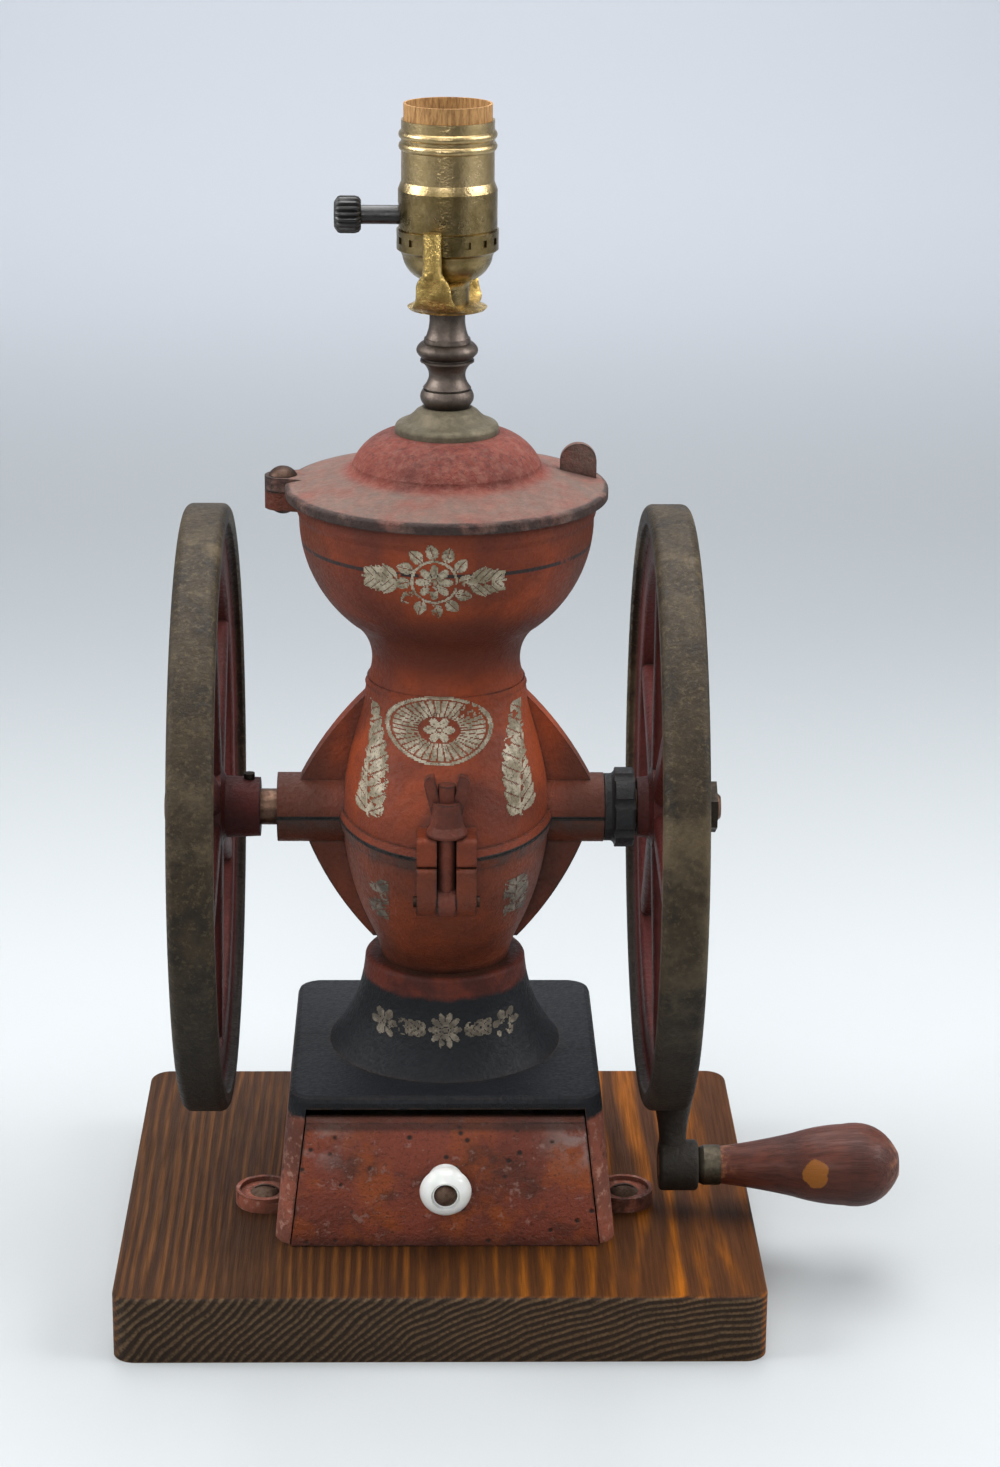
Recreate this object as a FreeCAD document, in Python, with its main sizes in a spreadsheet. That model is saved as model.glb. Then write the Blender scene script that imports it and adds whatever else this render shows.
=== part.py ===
import FreeCAD, Part
import math
import os
import Sketcher
from FreeCAD import Placement, Rotation, Vector

# Two-wheel counter coffee mill on a wooden board, fitted up as a table lamp.
# Frame: origin under the board on the mill's upright axis, +X to the crank side, -Y to the drawer, +Z up.

doc = FreeCAD.newDocument("CounterMill")
sheet = doc.addObject("Spreadsheet::Sheet", "Sizes")

# Driving sizes in millimetres and degrees
DRIVING = [
    ("fit_gap", 0.05), ("slide_gap", 0.3), ("shaft_radius", 6.65),
    ("board_width", 232.6), ("board_depth", 197.1), ("board_thick", 25.4), ("board_corner", 8.0),
    ("board_ease", 2.0), ("board_shift_x", -1.8), ("board_shift_y", -2.6),
    ("base_top_half", 56.5), ("base_foot_half", 62.0), ("base_foot_half_y", 60.0),
    ("base_corner", 9.0), ("base_ease", 2.2), ("bay_half_low", 56.6), ("bay_half_high", 50.2), ("bay_back", 51.0),
    ("pedestal_ring", 29.6), ("pedestal_foot", 41.0), ("pedestal_flare", 58.0),
    ("spigot_radius", 22.0), ("throat_radius", 16.5),
    ("ear_reach", 67.0), ("ear_round", 10.8), ("ear_thick", 4.0), ("ear_rim", 1.6), ("ear_y", -24.0),
    ("ear_screw_radius", 2.5), ("ear_head_radius", 5.4), ("ear_head_thick", 2.4), ("ear_screw_depth", 18.0),
    ("drawer_thick", 1.6), ("drawer_front_thick", 3.0),
    ("drawer_length", 104.0), ("drawer_front_y", -61.5), ("drawer_lip", 4.0),
    ("knob_radius", 9.3), ("knob_reach", 14.0), ("knob_screw_radius", 2.0),
    ("knob_head_radius", 4.2),
    ("split_gap", 0.2), ("web_thick", 9.0), ("web_bulge_low", 120.0), ("web_bulge_high", 128.0),
    ("case_half_x", 38.0), ("case_half_y", 56.0), ("lip_out", 1.5), ("lip_low", 4.2), ("lip_high", 3.0),
    ("boss_radius", 12.7), ("boss_left", 61.4), ("boss_right", 57.8), ("bush_radius", 9.0),
    ("sleeve_end", 66.0), ("trough_radius", 20.0), ("trough_start", 29.0), ("trough_end", 6.0),
    ("eye_radius", 16.5), ("burr_radius", 32.0), ("burr_thick", 6.0), ("burr_gap", 0.6), ("burr_room", 36.0),
    ("burr_room_end", 15.0), ("chute_x", -18.0), ("chute_half_x", 10.5), ("chute_half_y", 18.0),
    ("worm_core", 9.5), ("worm_radius", 17.0),
    ("lug_half", 10.5), ("lug_slot", 3.45), ("lug_front", 65.0),
    ("bolt_y", -61.0), ("bolt_radius", 3.1), ("bolt_eye", 5.4),
    ("pin_radius", 2.0), ("nut_radius", 7.2), ("nut_tall", 12.5), ("wing_tall", 9.5), ("wing_half", 8.0),
    ("wing_thick", 3.6), ("knuckle_y", 63.2), ("knuckle_radius", 5.0),
    ("bowl_radius", 52.6), ("bowl_wall", 3.8), ("bowl_bend", 48.4), ("rim_radius", 53.3),
    ("neck_radius", 27.1), ("neck_bend", 17.65), ("neck_bore", 22.0),
    ("hinge_x", -58.5), ("hinge_y", 7.0), ("hinge_round", 6.5), ("hinge_thick", 6.5), ("rivet_radius", 2.5),
    ("lid_radius", 57.5), ("lid_edge", 2.6), ("lid_foot", 36.0), ("dome_radius", 33.4),
    ("dome_flat", 18.0), ("lid_wall", 3.2), ("lid_ear_thick", 5.0), ("tab_x", 47.0), ("tab_y", 7.0),
    ("tab_half", 6.5), ("tab_thick", 3.0),
    ("pipe_radius", 5.1), ("pipe_bore", 3.9), ("cap_radius", 18.4),
    ("spindle_waist", 8.1),
    ("saddle_radius", 12.8), ("saddle_thick", 1.6), ("saddle_arm", 19.6),
    ("saddle_width", 8.0), ("saddle_turn", 75.0),
    ("socket_band", 17.8), ("socket_shell", 17.3), ("socket_upper", 16.2), ("socket_sheet", 0.7),
    ("screw_shell_bore", 13.3),
    ("contact_radius", 4.2), ("contact_thick", 2.6), ("switch_stem", 3.3), ("switch_knob", 6.6),
    ("switch_shoulder", 30.0), ("switch_end", 39.4), ("band_slots", 16), ("band_slot_half", 1.2),
    ("wheel_radius", 111.0), ("wheel_width", 16.0), ("wheel_band", 7.0), ("wheel_web", 90.0),
    ("wheel_web_width", 8.0), ("wheel_edge", 3.0), ("wheel_left", -86.6), ("wheel_right", 80.5),
    ("hub_radius", 10.8), ("hub_boss", 15.0), ("hub_left_in", -67.7), ("hub_left_out", -100.0),
    ("hub_right_in", 70.0), ("hub_right_out", 92.0), ("spoke_count", 6), ("spoke_root", 6.5), ("spoke_tip", 4.6),
    ("spoke_thick_root", 5.0), ("spoke_thick_tip", 3.4), ("shaft_end", 101.0), ("stud_radius", 5.0),
    ("wheel_nut_flat", 8.6), ("wheel_nut_thick", 7.4),
    ("crank_radius", 133.0), ("crank_clear", 14.0), ("crank_angle", 14.5), ("crank_half", 5.6), ("crank_boss", 9.4),
    ("crank_in", 79.0), ("crank_out", 89.4), ("crank_boss_out", 93.5), ("crank_pin", 4.0),
    ("ferrule_end", 101.6), ("ferrule_radius", 7.4), ("grip_end", 168.4), ("grip_radius", 16.6),
    ("grip_peak", 150.0), ("grip_neck", 7.8), ("pin_head", 6.2),
    ("adjuster_radius", 12.4), ("adjuster_flange", 14.7), ("adjuster_end", 69.0), ("adjuster_notch", 62.0),
]

# Heights: each is a rise above, or a drop below, the height named beside it
HEIGHTS_TO_SHAFT = [
    ("base_top", 56.6, "board_top"), ("bay_top", -4.4, "base_top"), ("drawer_front_top", -3.0, "bay_top"),
    ("drawer_wall_top", -11.6, "bay_top"), ("knob_height", 26.6, "board_top"), ("pedestal_top", 35.0, "base_top"),
    ("spigot_foot", -21.0, "pedestal_top"), ("shaft_height", 56.2, "pedestal_top"),
]
HEIGHTS_ABOVE_SHAFT = [
    ("lug_low", -20.2, "shaft_height"), ("lug_high", 10.8, "shaft_height"), ("bolt_pivot", -13.7, "shaft_height"),
    ("bolt_top", 29.8, "shaft_height"), ("rim_top", 118.0, "shaft_height"), ("bowl_bend_top", -7.2, "rim_top"),
    ("lid_foot_top", 9.0, "rim_top"), ("tab_top", 16.8, "rim_top"), ("dome_top", 14.0, "lid_foot_top"),
    ("cap_top", 9.0, "dome_top"), ("spindle_top", 34.8, "cap_top"), ("saddle_top", 30.0, "spindle_top"),
    ("switch_height", 33.0, "spindle_top"), ("socket_top", 66.0, "spindle_top"), ("liner_top", 5.5, "socket_top"),
]
DRIVING += [row[:2] for row in HEIGHTS_TO_SHAFT + HEIGHTS_ABOVE_SHAFT]

# Case sections, half widths along X and Y: the lower by height over the pedestal, the upper by height over the shaft
LOWER_SECTIONS = [(0, 23.6, 24.4), (6.2, 25.2, 29.0), (13.2, 28.0, 36.5), (23.2, 32.0, 45.0),
                  (33.2, 35.0, 51.0), (43.2, 37.0, 54.6)]
UPPER_SECTIONS = [(12, 37.0, 53.0), (27, 34.0, 45.0), (42, 30.0, 33.5), (51, 28.6, 28.8)]
for place_name, sections in (("lower", LOWER_SECTIONS), ("upper", UPPER_SECTIONS)):
    for number, (rise, half_x, half_y) in enumerate(sections):
        DRIVING.append((f"{place_name}_rise_{number}", rise))
        DRIVING.append((f"{place_name}_half_x_{number}", half_x))
        DRIVING.append((f"{place_name}_half_y_{number}", half_y))


class Size:
    """A size with its number and the sheet formula that gives it."""

    def __init__(self, value, text):
        self.value = float(value)
        self.text = text

    def __add__(self, other):
        other = as_size(other)
        return Size(self.value + other.value, f"({self.text} + {other.text})")

    def __sub__(self, other):
        other = as_size(other)
        return Size(self.value - other.value, f"({self.text} - {other.text})")

    def __mul__(self, other):
        other = as_size(other)
        return Size(self.value * other.value, f"({self.text} * {other.text})")

    def __truediv__(self, other):
        other = as_size(other)
        return Size(self.value / other.value, f"({self.text} / {other.text})")

    def __radd__(self, other):
        return as_size(other) + self

    def __rsub__(self, other):
        return as_size(other) - self

    def __rmul__(self, other):
        return as_size(other) * self

    def __neg__(self):
        return Size(-self.value, f"(0 - {self.text})")


def as_size(value):
    if isinstance(value, Size):
        return value
    return Size(value, repr(float(value)))


class Sizes:
    """Each driving size under its own name."""


d = Sizes()
for row, (alias, number) in enumerate(DRIVING, start=1):
    sheet.set(f"A{row}", alias.replace("_", " "))
    sheet.set(f"B{row}", str(number))
    sheet.setAlias(f"B{row}", alias)
    setattr(d, alias, Size(number, "Sizes." + alias))
doc.recompute()


def higher(first, second):
    """The larger of two sizes."""
    return Size(max(first.value, second.value), f"max({first.text}; {second.text})")


class Heights:
    """Each height over the floor."""


at = Heights()
at.board_top = d.board_thick
for alias, rise, start in HEIGHTS_TO_SHAFT:
    setattr(at, alias, getattr(at, start) + getattr(d, alias))
# The shaft stands high enough for the crank to pass the board
at.shaft_height = higher(at.shaft_height, at.board_top + d.crank_radius + d.crank_clear)
for alias, rise, start in HEIGHTS_ABOVE_SHAFT:
    setattr(at, alias, getattr(at, start) + getattr(d, alias))


# Helpers

def bind(obj, **sizes):
    for name, size in sizes.items():
        size = as_size(size)
        setattr(obj, name, size.value)
        obj.setExpression(name, size.text)
    return obj


def place(obj, x, y, z, rotation=None):
    spot = [as_size(value) for value in (x, y, z)]
    obj.Placement = Placement(Vector(*[size.value for size in spot]), rotation or Rotation())
    for axis, size in zip("xyz", spot):
        obj.setExpression("Placement.Base." + axis, size.text)
    return obj


ALONG_X = Rotation(Vector(0, 1, 0), 90)


def turn_by(obj, angle):
    """Ties the turn of a placed object to an angle."""
    obj.setExpression("Placement.Rotation.Angle", angle.text)


def rod(label, radius, start, end, y=0, z=0):
    """Cylinder along X from start to end."""
    obj = doc.addObject("Part::Cylinder", label)
    bind(obj, Radius=radius, Height=as_size(end) - as_size(start))
    return place(obj, start, y, z, ALONG_X)


def post(label, radius, low, high, x=0, y=0):
    """Cylinder along Z from low to high."""
    obj = doc.addObject("Part::Cylinder", label)
    bind(obj, Radius=radius, Height=as_size(high) - as_size(low))
    return place(obj, x, y, low)


def block(label, x0, x1, y0, y1, z0, z1):
    obj = doc.addObject("Part::Box", label)
    bind(obj, Length=as_size(x1) - as_size(x0), Width=as_size(y1) - as_size(y0), Height=as_size(z1) - as_size(z0))
    return place(obj, x0, y0, z0)


def new_sketch(body, plane, name, lift=0):
    sketch = body.newObject("Sketcher::SketchObject", name)
    support = [feature for feature in body.Origin.OriginFeatures if feature.Role == plane][0]
    sketch.AttachmentSupport = [(support, "")]
    sketch.MapMode = "FlatFace"
    lift = as_size(lift)
    if lift.value:
        sketch.AttachmentOffset = Placement(Vector(0, 0, lift.value), Rotation())
        sketch.setExpression("AttachmentOffset.Base.z", lift.text)
    return sketch


def pin_point(sketch, part, vertex, x, y):
    for kind, axis, size in (("DistanceX", -2, as_size(x)), ("DistanceY", -1, as_size(y))):
        if size.value == 0:
            sketch.addConstraint(Sketcher.Constraint("PointOnObject", part, vertex, axis))
        else:
            index = sketch.addConstraint(Sketcher.Constraint(kind, -1, 1, part, vertex, size.value))
            sketch.setExpression(f"Constraints[{index}]", size.text)


def outline(sketch, corners):
    """Closed outline; a corner (x, y, radius, turn) is reached by an arc that turns left or right."""
    edges = []
    half_turns = []
    for number, corner in enumerate(corners):
        last = corners[number - 1]
        start = Vector(as_size(last[0]).value, as_size(last[1]).value, 0)
        end = Vector(as_size(corner[0]).value, as_size(corner[1]).value, 0)
        if len(corner) == 2:
            edges.append((sketch.addGeometry(Part.LineSegment(start, end)), 1, 2))
            continue
        radius = as_size(corner[2])
        chord = end - start
        side = Vector(-chord.y, chord.x, 0).normalize()
        rise = math.sqrt(max(radius.value ** 2 - (chord.Length / 2) ** 2, 0))
        if rise < 0.001:
            half_turns.append(number)
        centre = (start + end) * 0.5 + side * (rise if corner[3] == "left" else -rise)
        first, second = (start, end) if corner[3] == "left" else (end, start)
        angles = [math.atan2(point.y - centre.y, point.x - centre.x) for point in (first, second)]
        circle = Part.Circle(centre, Vector(0, 0, 1), radius.value)
        part = sketch.addGeometry(Part.ArcOfCircle(circle, angles[0], angles[1]))
        edges.append((part, 1, 2) if corner[3] == "left" else (part, 2, 1))
    for number, corner in enumerate(corners):
        part, start, end = edges[number]
        following = edges[(number + 1) % len(edges)]
        sketch.addConstraint(Sketcher.Constraint("Coincident", part, end, following[0], following[1]))
        pin_point(sketch, part, end, corner[0], corner[1])
        if len(corner) == 4 and number in half_turns:
            sketch.addConstraint(Sketcher.Constraint("Symmetric", part, 1, part, 2, part, 3))
        elif len(corner) == 4:
            index = sketch.addConstraint(Sketcher.Constraint("Radius", part, as_size(corner[2]).value))
            sketch.setExpression(f"Constraints[{index}]", as_size(corner[2]).text)


def dome(half_width, rise):
    """Radius of a round top whose centre lies on the axis."""
    half_width = as_size(half_width)
    rise = as_size(rise)
    return (half_width * half_width + rise * rise) / (rise * 2)


def turned(label, corners, about="V_Axis"):
    """Body turned from a half section drawn in the XZ plane, about Z or (H_Axis) about X."""
    body = doc.addObject("PartDesign::Body", label)
    sketch = new_sketch(body, "XZ_Plane", label + "_section")
    outline(sketch, corners)
    turn = body.newObject("PartDesign::Revolution", label + "_turn")
    turn.Profile = sketch
    turn.ReferenceAxis = (sketch, [about])
    turn.Angle = 360
    return body


def padded(label, plane, corners, length, lift=0):
    """Body padded from an outline; XZ pads run toward -Y, XY pads up, YZ pads toward +X."""
    body = doc.addObject("PartDesign::Body", label)
    sketch = new_sketch(body, plane, label + "_outline", lift)
    outline(sketch, corners)
    pad = body.newObject("PartDesign::Pad", label + "_pad")
    pad.Profile = sketch
    bind(pad, Length=length)
    return body


def joined(label, pieces):
    obj = doc.addObject("Part::MultiFuse", label)
    obj.Shapes = pieces
    return obj


def cut(label, base, tools):
    obj = doc.addObject("Part::Cut", label)
    obj.Base = base
    obj.Tool = tools[0] if len(tools) == 1 else joined(label + "_cutters", tools)
    return obj


def oval(label, half_x, half_y, z, x=0):
    """Upright section: an ellipse whose long way runs along Y."""
    obj = doc.addObject("Part::Ellipse", label)
    bind(obj, MajorRadius=half_y, MinorRadius=half_x)
    return place(obj, x, 0, z, Rotation(Vector(0, 0, 1), 90))


def lofted(label, sections, ruled=False):
    obj = doc.addObject("Part::Loft", label)
    obj.Sections = sections
    obj.Solid = True
    obj.Ruled = ruled
    return obj


def rounded_box(half_x, half_y, corner, x=0, y=0):
    """Corners of a rectangle with rounded corners, drawn anticlockwise."""
    x = as_size(x)
    y = as_size(y)
    return [
        (x - half_x + corner, y - half_y), (x + half_x - corner, y - half_y),
        (x + half_x, y - half_y + corner, corner, "left"), (x + half_x, y + half_y - corner),
        (x + half_x - corner, y + half_y, corner, "left"), (x - half_x + corner, y + half_y),
        (x - half_x, y + half_y - corner, corner, "left"), (x - half_x, y - half_y + corner),
        (x - half_x + corner, y - half_y, corner, "left"),
    ][1:]


nodes = []


def node(obj, name):
    obj.Label = name
    nodes.append(obj)
    return obj


# Board with eased top edges and pilot holes for the base screws
board_body = padded("board_block", "XY_Plane",
                    rounded_box(d.board_width * 0.5, d.board_depth * 0.5, d.board_corner,
                                d.board_shift_x, d.board_shift_y), d.board_thick)
doc.recompute()
top_edges = [f"Edge{number}" for number, edge in enumerate(board_body.Shape.Edges, start=1)
             if abs(edge.BoundBox.ZMin - d.board_thick.value) < 0.01]
board_pad = board_body.Tip
easing = board_body.newObject("PartDesign::Fillet", "board_easing")
easing.Base = (board_pad, top_edges)
bind(easing, Radius=d.board_ease)
body_holes = [post("pilot_left", d.ear_screw_radius, d.board_thick - d.ear_screw_depth, d.board_thick + 1,
                   -d.ear_reach, d.ear_y),
              post("pilot_right", d.ear_screw_radius, d.board_thick - d.ear_screw_depth, d.board_thick + 1,
                   d.ear_reach, d.ear_y)]
node(cut("board_cut", board_body, body_holes), "base_board")

# Base casting: tapered box with a drawer bay, a flared pedestal and two screw ears
base_block = doc.addObject("PartDesign::Body", "base_block")
base_foot = new_sketch(base_block, "XY_Plane", "base_foot", d.board_thick)
outline(base_foot, rounded_box(d.base_foot_half, d.base_foot_half_y, d.base_corner))
base_heads = []
for number, (drop, inset) in enumerate(((1.0, 0.0), (0.3, 0.3), (0.0, 1.0))):
    head = new_sketch(base_block, "XY_Plane", f"base_head_{number}", at.base_top - d.base_ease * drop)
    half = d.base_top_half - d.base_ease * inset
    outline(head, rounded_box(half, half, d.base_corner - d.base_ease * inset))
    base_heads.append(head)
base_loft = base_block.newObject("PartDesign::AdditiveLoft", "base_loft")
base_loft.Profile = base_foot
base_loft.Sections = base_heads
base_loft.Ruled = True
bay = padded("drawer_bay", "XZ_Plane",
             [(-d.bay_half_low, d.board_thick - 1), (d.bay_half_low, d.board_thick - 1),
              (d.bay_half_high, at.bay_top), (-d.bay_half_high, at.bay_top)], d.bay_back + 70, -d.bay_back)
pedestal = turned("pedestal", [
    (0, at.base_top - 3), (d.pedestal_foot + 2, at.base_top - 3), (d.pedestal_foot + 2, at.base_top),
    (d.pedestal_ring, at.pedestal_top - 2, d.pedestal_flare, "right"),
    (d.pedestal_ring - 2, at.pedestal_top, 2.0, "left"), (0, at.pedestal_top)])
ears = []
ear_holes = []
for side, sign in (("left", -1), ("right", 1)):
    near = (d.base_foot_half - 3) * sign
    far = d.ear_reach * sign
    loop = [(near, d.ear_y - d.ear_round), (far, d.ear_y - d.ear_round),
            (far, d.ear_y + d.ear_round, d.ear_round, "left" if sign > 0 else "right"),
            (near, d.ear_y + d.ear_round)]
    ears.append(padded("ear_" + side, "XY_Plane", loop, d.ear_thick, d.board_thick))
    ears.append(cut("ear_rim_cut_" + side,
                    post("ear_rim_" + side, d.ear_round, d.board_thick, d.board_thick + d.ear_thick + d.ear_rim,
                         far, d.ear_y),
                    [post("ear_well_" + side, d.ear_round - d.ear_rim, d.board_thick + d.ear_thick,
                          d.board_thick + d.ear_thick + 9, far, d.ear_y)]))
    ear_holes.append(post("ear_hole_" + side, d.ear_screw_radius + d.fit_gap, d.board_thick - 1,
                          d.board_thick + d.ear_thick + 1, far, d.ear_y))
base_solid = joined("base_solid", [base_block, pedestal] + ears)
node(cut("base_cut", base_solid,
         [bay, post("spigot_bore", d.spigot_radius + d.fit_gap, at.spigot_foot - 0.5, at.pedestal_top + 1),
          post("base_throat", d.throat_radius, at.bay_top - 1, at.spigot_foot + 1)] + ear_holes), "mill_base")

# Wood screws through the ears
for side, sign in (("left", -1), ("right", 1)):
    head_low = d.board_thick + d.ear_thick
    screw = turned("ear_screw_" + side, [
        (0, d.board_thick - d.ear_screw_depth + 1), (d.ear_screw_radius, d.board_thick - d.ear_screw_depth + 4),
        (d.ear_screw_radius, head_low), (d.ear_head_radius, head_low),
        (0, head_low + d.ear_head_thick, dome(d.ear_head_radius, d.ear_head_thick), "left")])
    slot = block("ear_slot_" + side, -7, 7, -0.6, 0.6, head_low + d.ear_head_thick * 0.45, head_low + 6)
    slotted = cut("ear_screw_cut_" + side, screw, [slot])
    place(slotted, d.ear_reach * sign, d.ear_y, 0)
    node(slotted, "base_screw_" + side)

# Cutters that both halves of the case share
split = at.shaft_height
low_edge = split - d.split_gap * 0.5
high_edge = split + d.split_gap * 0.5


def inside_cuts(tag):
    return [
        rod("trough_" + tag, d.trough_radius, -d.trough_start, -d.trough_end, 0, split),
        rod("eye_" + tag, d.eye_radius, -d.trough_end - 1, 0, 0, split),
        rod("burr_seat_" + tag, d.burr_radius + d.fit_gap, -d.burr_thick * 0.5, d.burr_thick * 0.5, 0, split),
        rod("burr_room_" + tag, d.burr_room, d.burr_thick * 0.5, d.burr_room_end, 0, split),
        rod("bush_left_" + tag, d.bush_radius, -d.boss_left - 1, -d.trough_start + 1, 0, split),
        rod("bush_right_" + tag, d.bush_radius, d.burr_room_end - 1, d.boss_right + 1, 0, split),
        block("bolt_slot_" + tag, -d.lug_slot, d.lug_slot, -d.lug_front - 9, -d.lug_front + 10.5,
              at.lug_low - 9, at.lug_high + 9),
    ]


def case_sections(tag, count, start):
    """Ovals of one half of the case, each at its rise over the start height."""
    found = []
    for number in range(count):
        rise = getattr(d, f"{tag}_rise_{number}")
        found.append(oval(f"{tag}_oval_{number}", getattr(d, f"{tag}_half_x_{number}"),
                          getattr(d, f"{tag}_half_y_{number}"), start + rise))
    return found


def seam_lip(tag, edge, tall):
    """Lip that runs round the case from its edge at the split; it hangs below the edge if tall is negative."""
    out = d.lip_out
    return lofted(tag + "_lip", [
        oval(tag + "_lip_root", d.case_half_x + out * 0.4, d.case_half_y + out * 0.4, edge + tall),
        oval(tag + "_lip_edge", d.case_half_x + out, d.case_half_y + out, edge)], True)


# Lower half of the case with webs, half bearings, clamp lugs and rear knuckles
lower_loft = lofted("lower_loft", case_sections("lower", len(LOWER_SECTIONS), at.pedestal_top)
                    + [oval("lower_mouth", d.case_half_x, d.case_half_y, low_edge)])
lower_web = padded("lower_web", "XZ_Plane", [
    (-d.boss_left + 11, split - 11), (-26.6, split - 49, d.web_bulge_low, "left"), (26.6, split - 49),
    (d.boss_right - 7.4, split - 11, d.web_bulge_low, "left"), (d.boss_right - 7.4, low_edge), (-d.boss_left + 11, low_edge)],
    d.web_thick, -d.web_thick * 0.5)
lower_lugs = padded("lower_lugs", "YZ_Plane", [
    (-40, at.lug_low - 6), (-d.lug_front + 8, at.lug_low), (-d.lug_front - 1, at.lug_low + 8, 10.0, "right"),
    (-d.lug_front - 1, low_edge - 1.5), (-d.lug_front + 0.5, low_edge, 1.5, "right"), (-40, low_edge)],
    d.lug_half * 2, -d.lug_half)
knuckles = [rod("knuckle_near", d.knuckle_radius, 5, 11, d.knuckle_y, split),
            rod("knuckle_far", d.knuckle_radius, -11, -5, d.knuckle_y, split),
            block("knuckle_foot_near", 5, 11, 44, d.knuckle_y, split - d.knuckle_radius, split - 1),
            block("knuckle_foot_far", -11, -5, 44, d.knuckle_y, split - d.knuckle_radius, split - 1)]
lower_bosses = cut("lower_bosses", joined("lower_boss_rods", [
    rod("lower_boss_left", d.boss_radius, -d.boss_left, -20, 0, split),
    rod("lower_boss_right", d.boss_radius, 20, d.boss_right, 0, split)]),
    [block("above_split", -90, 90, -90, 90, low_edge, split + 90)])
lower_solid = joined("lower_solid", [
    lower_loft, lower_web, lower_lugs, seam_lip("lower", low_edge, -d.lip_low), lower_bosses,
    post("spigot", d.spigot_radius, at.spigot_foot, at.pedestal_top + 5)] + knuckles)
outlet = lofted("outlet", [oval("outlet_top", 5.6, 22.0, split - 24, 9), oval("outlet_foot", 15.4, 15.6, split - 63)])
node(cut("lower_cut", lower_solid, inside_cuts("low") + [
    outlet, post("lower_throat", d.throat_radius, at.spigot_foot - 1, split - 61),
    rod("lower_pin_hole", d.pin_radius, -12, 12, d.bolt_y, at.bolt_pivot),
    rod("lower_hinge_hole", d.pin_radius, -12, 12, d.knuckle_y, split)]), "lower_case")

# Upper half of the case, neck and bowl in one casting
bowl_inner = d.bowl_radius - d.bowl_wall
bowl = turned("bowl", [
    (d.neck_radius + 2.2, split + 48.8), (d.neck_radius + 7.9, split + 72.9, d.neck_bend, "right"),
    (d.bowl_radius, at.bowl_bend_top, d.bowl_bend, "left"), (d.rim_radius, at.bowl_bend_top + 2),
    (d.rim_radius, at.rim_top - 1), (d.rim_radius - 1, at.rim_top, 1.0, "left"), (bowl_inner, at.rim_top),
    (bowl_inner, at.bowl_bend_top), (d.neck_radius + 4.6, split + 75.3, d.bowl_bend - d.bowl_wall, "right"),
    (d.neck_bore, split + 59.8, 21.0, "left"), (d.neck_bore, split + 48.8)])
upper_loft = lofted("upper_loft", [oval("upper_mouth", d.case_half_x, d.case_half_y, high_edge)]
                    + case_sections("upper", len(UPPER_SECTIONS), split))
upper_web = padded("upper_web", "XZ_Plane", [
    (-d.boss_left + 7.5, high_edge), (d.boss_right - 4, high_edge),
    (d.boss_right - 4, split + 10), (29.5, split + 44, d.web_bulge_high, "left"), (-29.5, split + 44),
    (-d.boss_left + 7.5, split + 10, d.web_bulge_high, "left")], d.web_thick, -d.web_thick * 0.5)
upper_lugs = padded("upper_lugs", "YZ_Plane", [
    (-40, high_edge), (-d.lug_front + 1.5, high_edge), (-d.lug_front, high_edge + 1.5, 1.5, "right"),
    (-d.lug_front, at.lug_high - 2), (-d.lug_front + 2, at.lug_high, 2.0, "right"), (-40, at.lug_high)],
    d.lug_half * 2, -d.lug_half)
hinge_ear = padded("hinge_ear", "XY_Plane", [
    (d.hinge_x + 14, d.hinge_y + d.hinge_round), (d.hinge_x, d.hinge_y + d.hinge_round),
    (d.hinge_x, d.hinge_y - d.hinge_round, d.hinge_round, "left"),
    (d.hinge_x + 12, d.hinge_y - d.hinge_round - 3)], d.hinge_thick, at.rim_top - d.hinge_thick)
ear_trim = post("hinge_ear_trim", bowl_inner + 1.5, at.rim_top - 9, at.rim_top + 1)
upper_bosses = cut("upper_bosses", joined("upper_boss_rods", [
    rod("upper_boss_left", d.boss_radius, -d.boss_left, -20, 0, split),
    rod("upper_boss_right", d.boss_radius, 20, d.boss_right, 0, split)]),
    [block("below_split", -90, 90, -90, 90, split - 90, high_edge)])
upper_solid = joined("upper_solid", [
    upper_loft, upper_web, upper_lugs, seam_lip("upper", high_edge, d.lip_high), upper_bosses,
    rod("knuckle_centre", d.knuckle_radius, -4.8, 4.8, d.knuckle_y, split),
    block("knuckle_arm", -4.8, 4.8, 50, d.knuckle_y, split + 0.6, split + d.knuckle_radius)])
chute = lofted("chute", [
    oval("chute_top", d.neck_bore - 0.01, d.neck_bore, split + 61),
    oval("chute_mid", d.chute_half_x, d.chute_half_y, split + 34, d.chute_x),
    oval("chute_foot", d.chute_half_x, d.chute_half_y, split + 2, d.chute_x)], True)
upper_half = cut("upper_half", upper_solid, [chute] + inside_cuts("high"))
bowl_with_ear = joined("bowl_with_ear", [bowl, cut("hinge_ear_cut", hinge_ear, [ear_trim])])
hopper_solid = joined("hopper_solid", [upper_half, bowl_with_ear])
node(cut("hopper_cut", hopper_solid, [
    rod("upper_hinge_hole", d.pin_radius, -12, 12, d.knuckle_y, split),
    post("rivet_hole_low", d.rivet_radius, at.rim_top - 12, at.rim_top + 1, d.hinge_x, d.hinge_y)]), "hopper")

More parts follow.
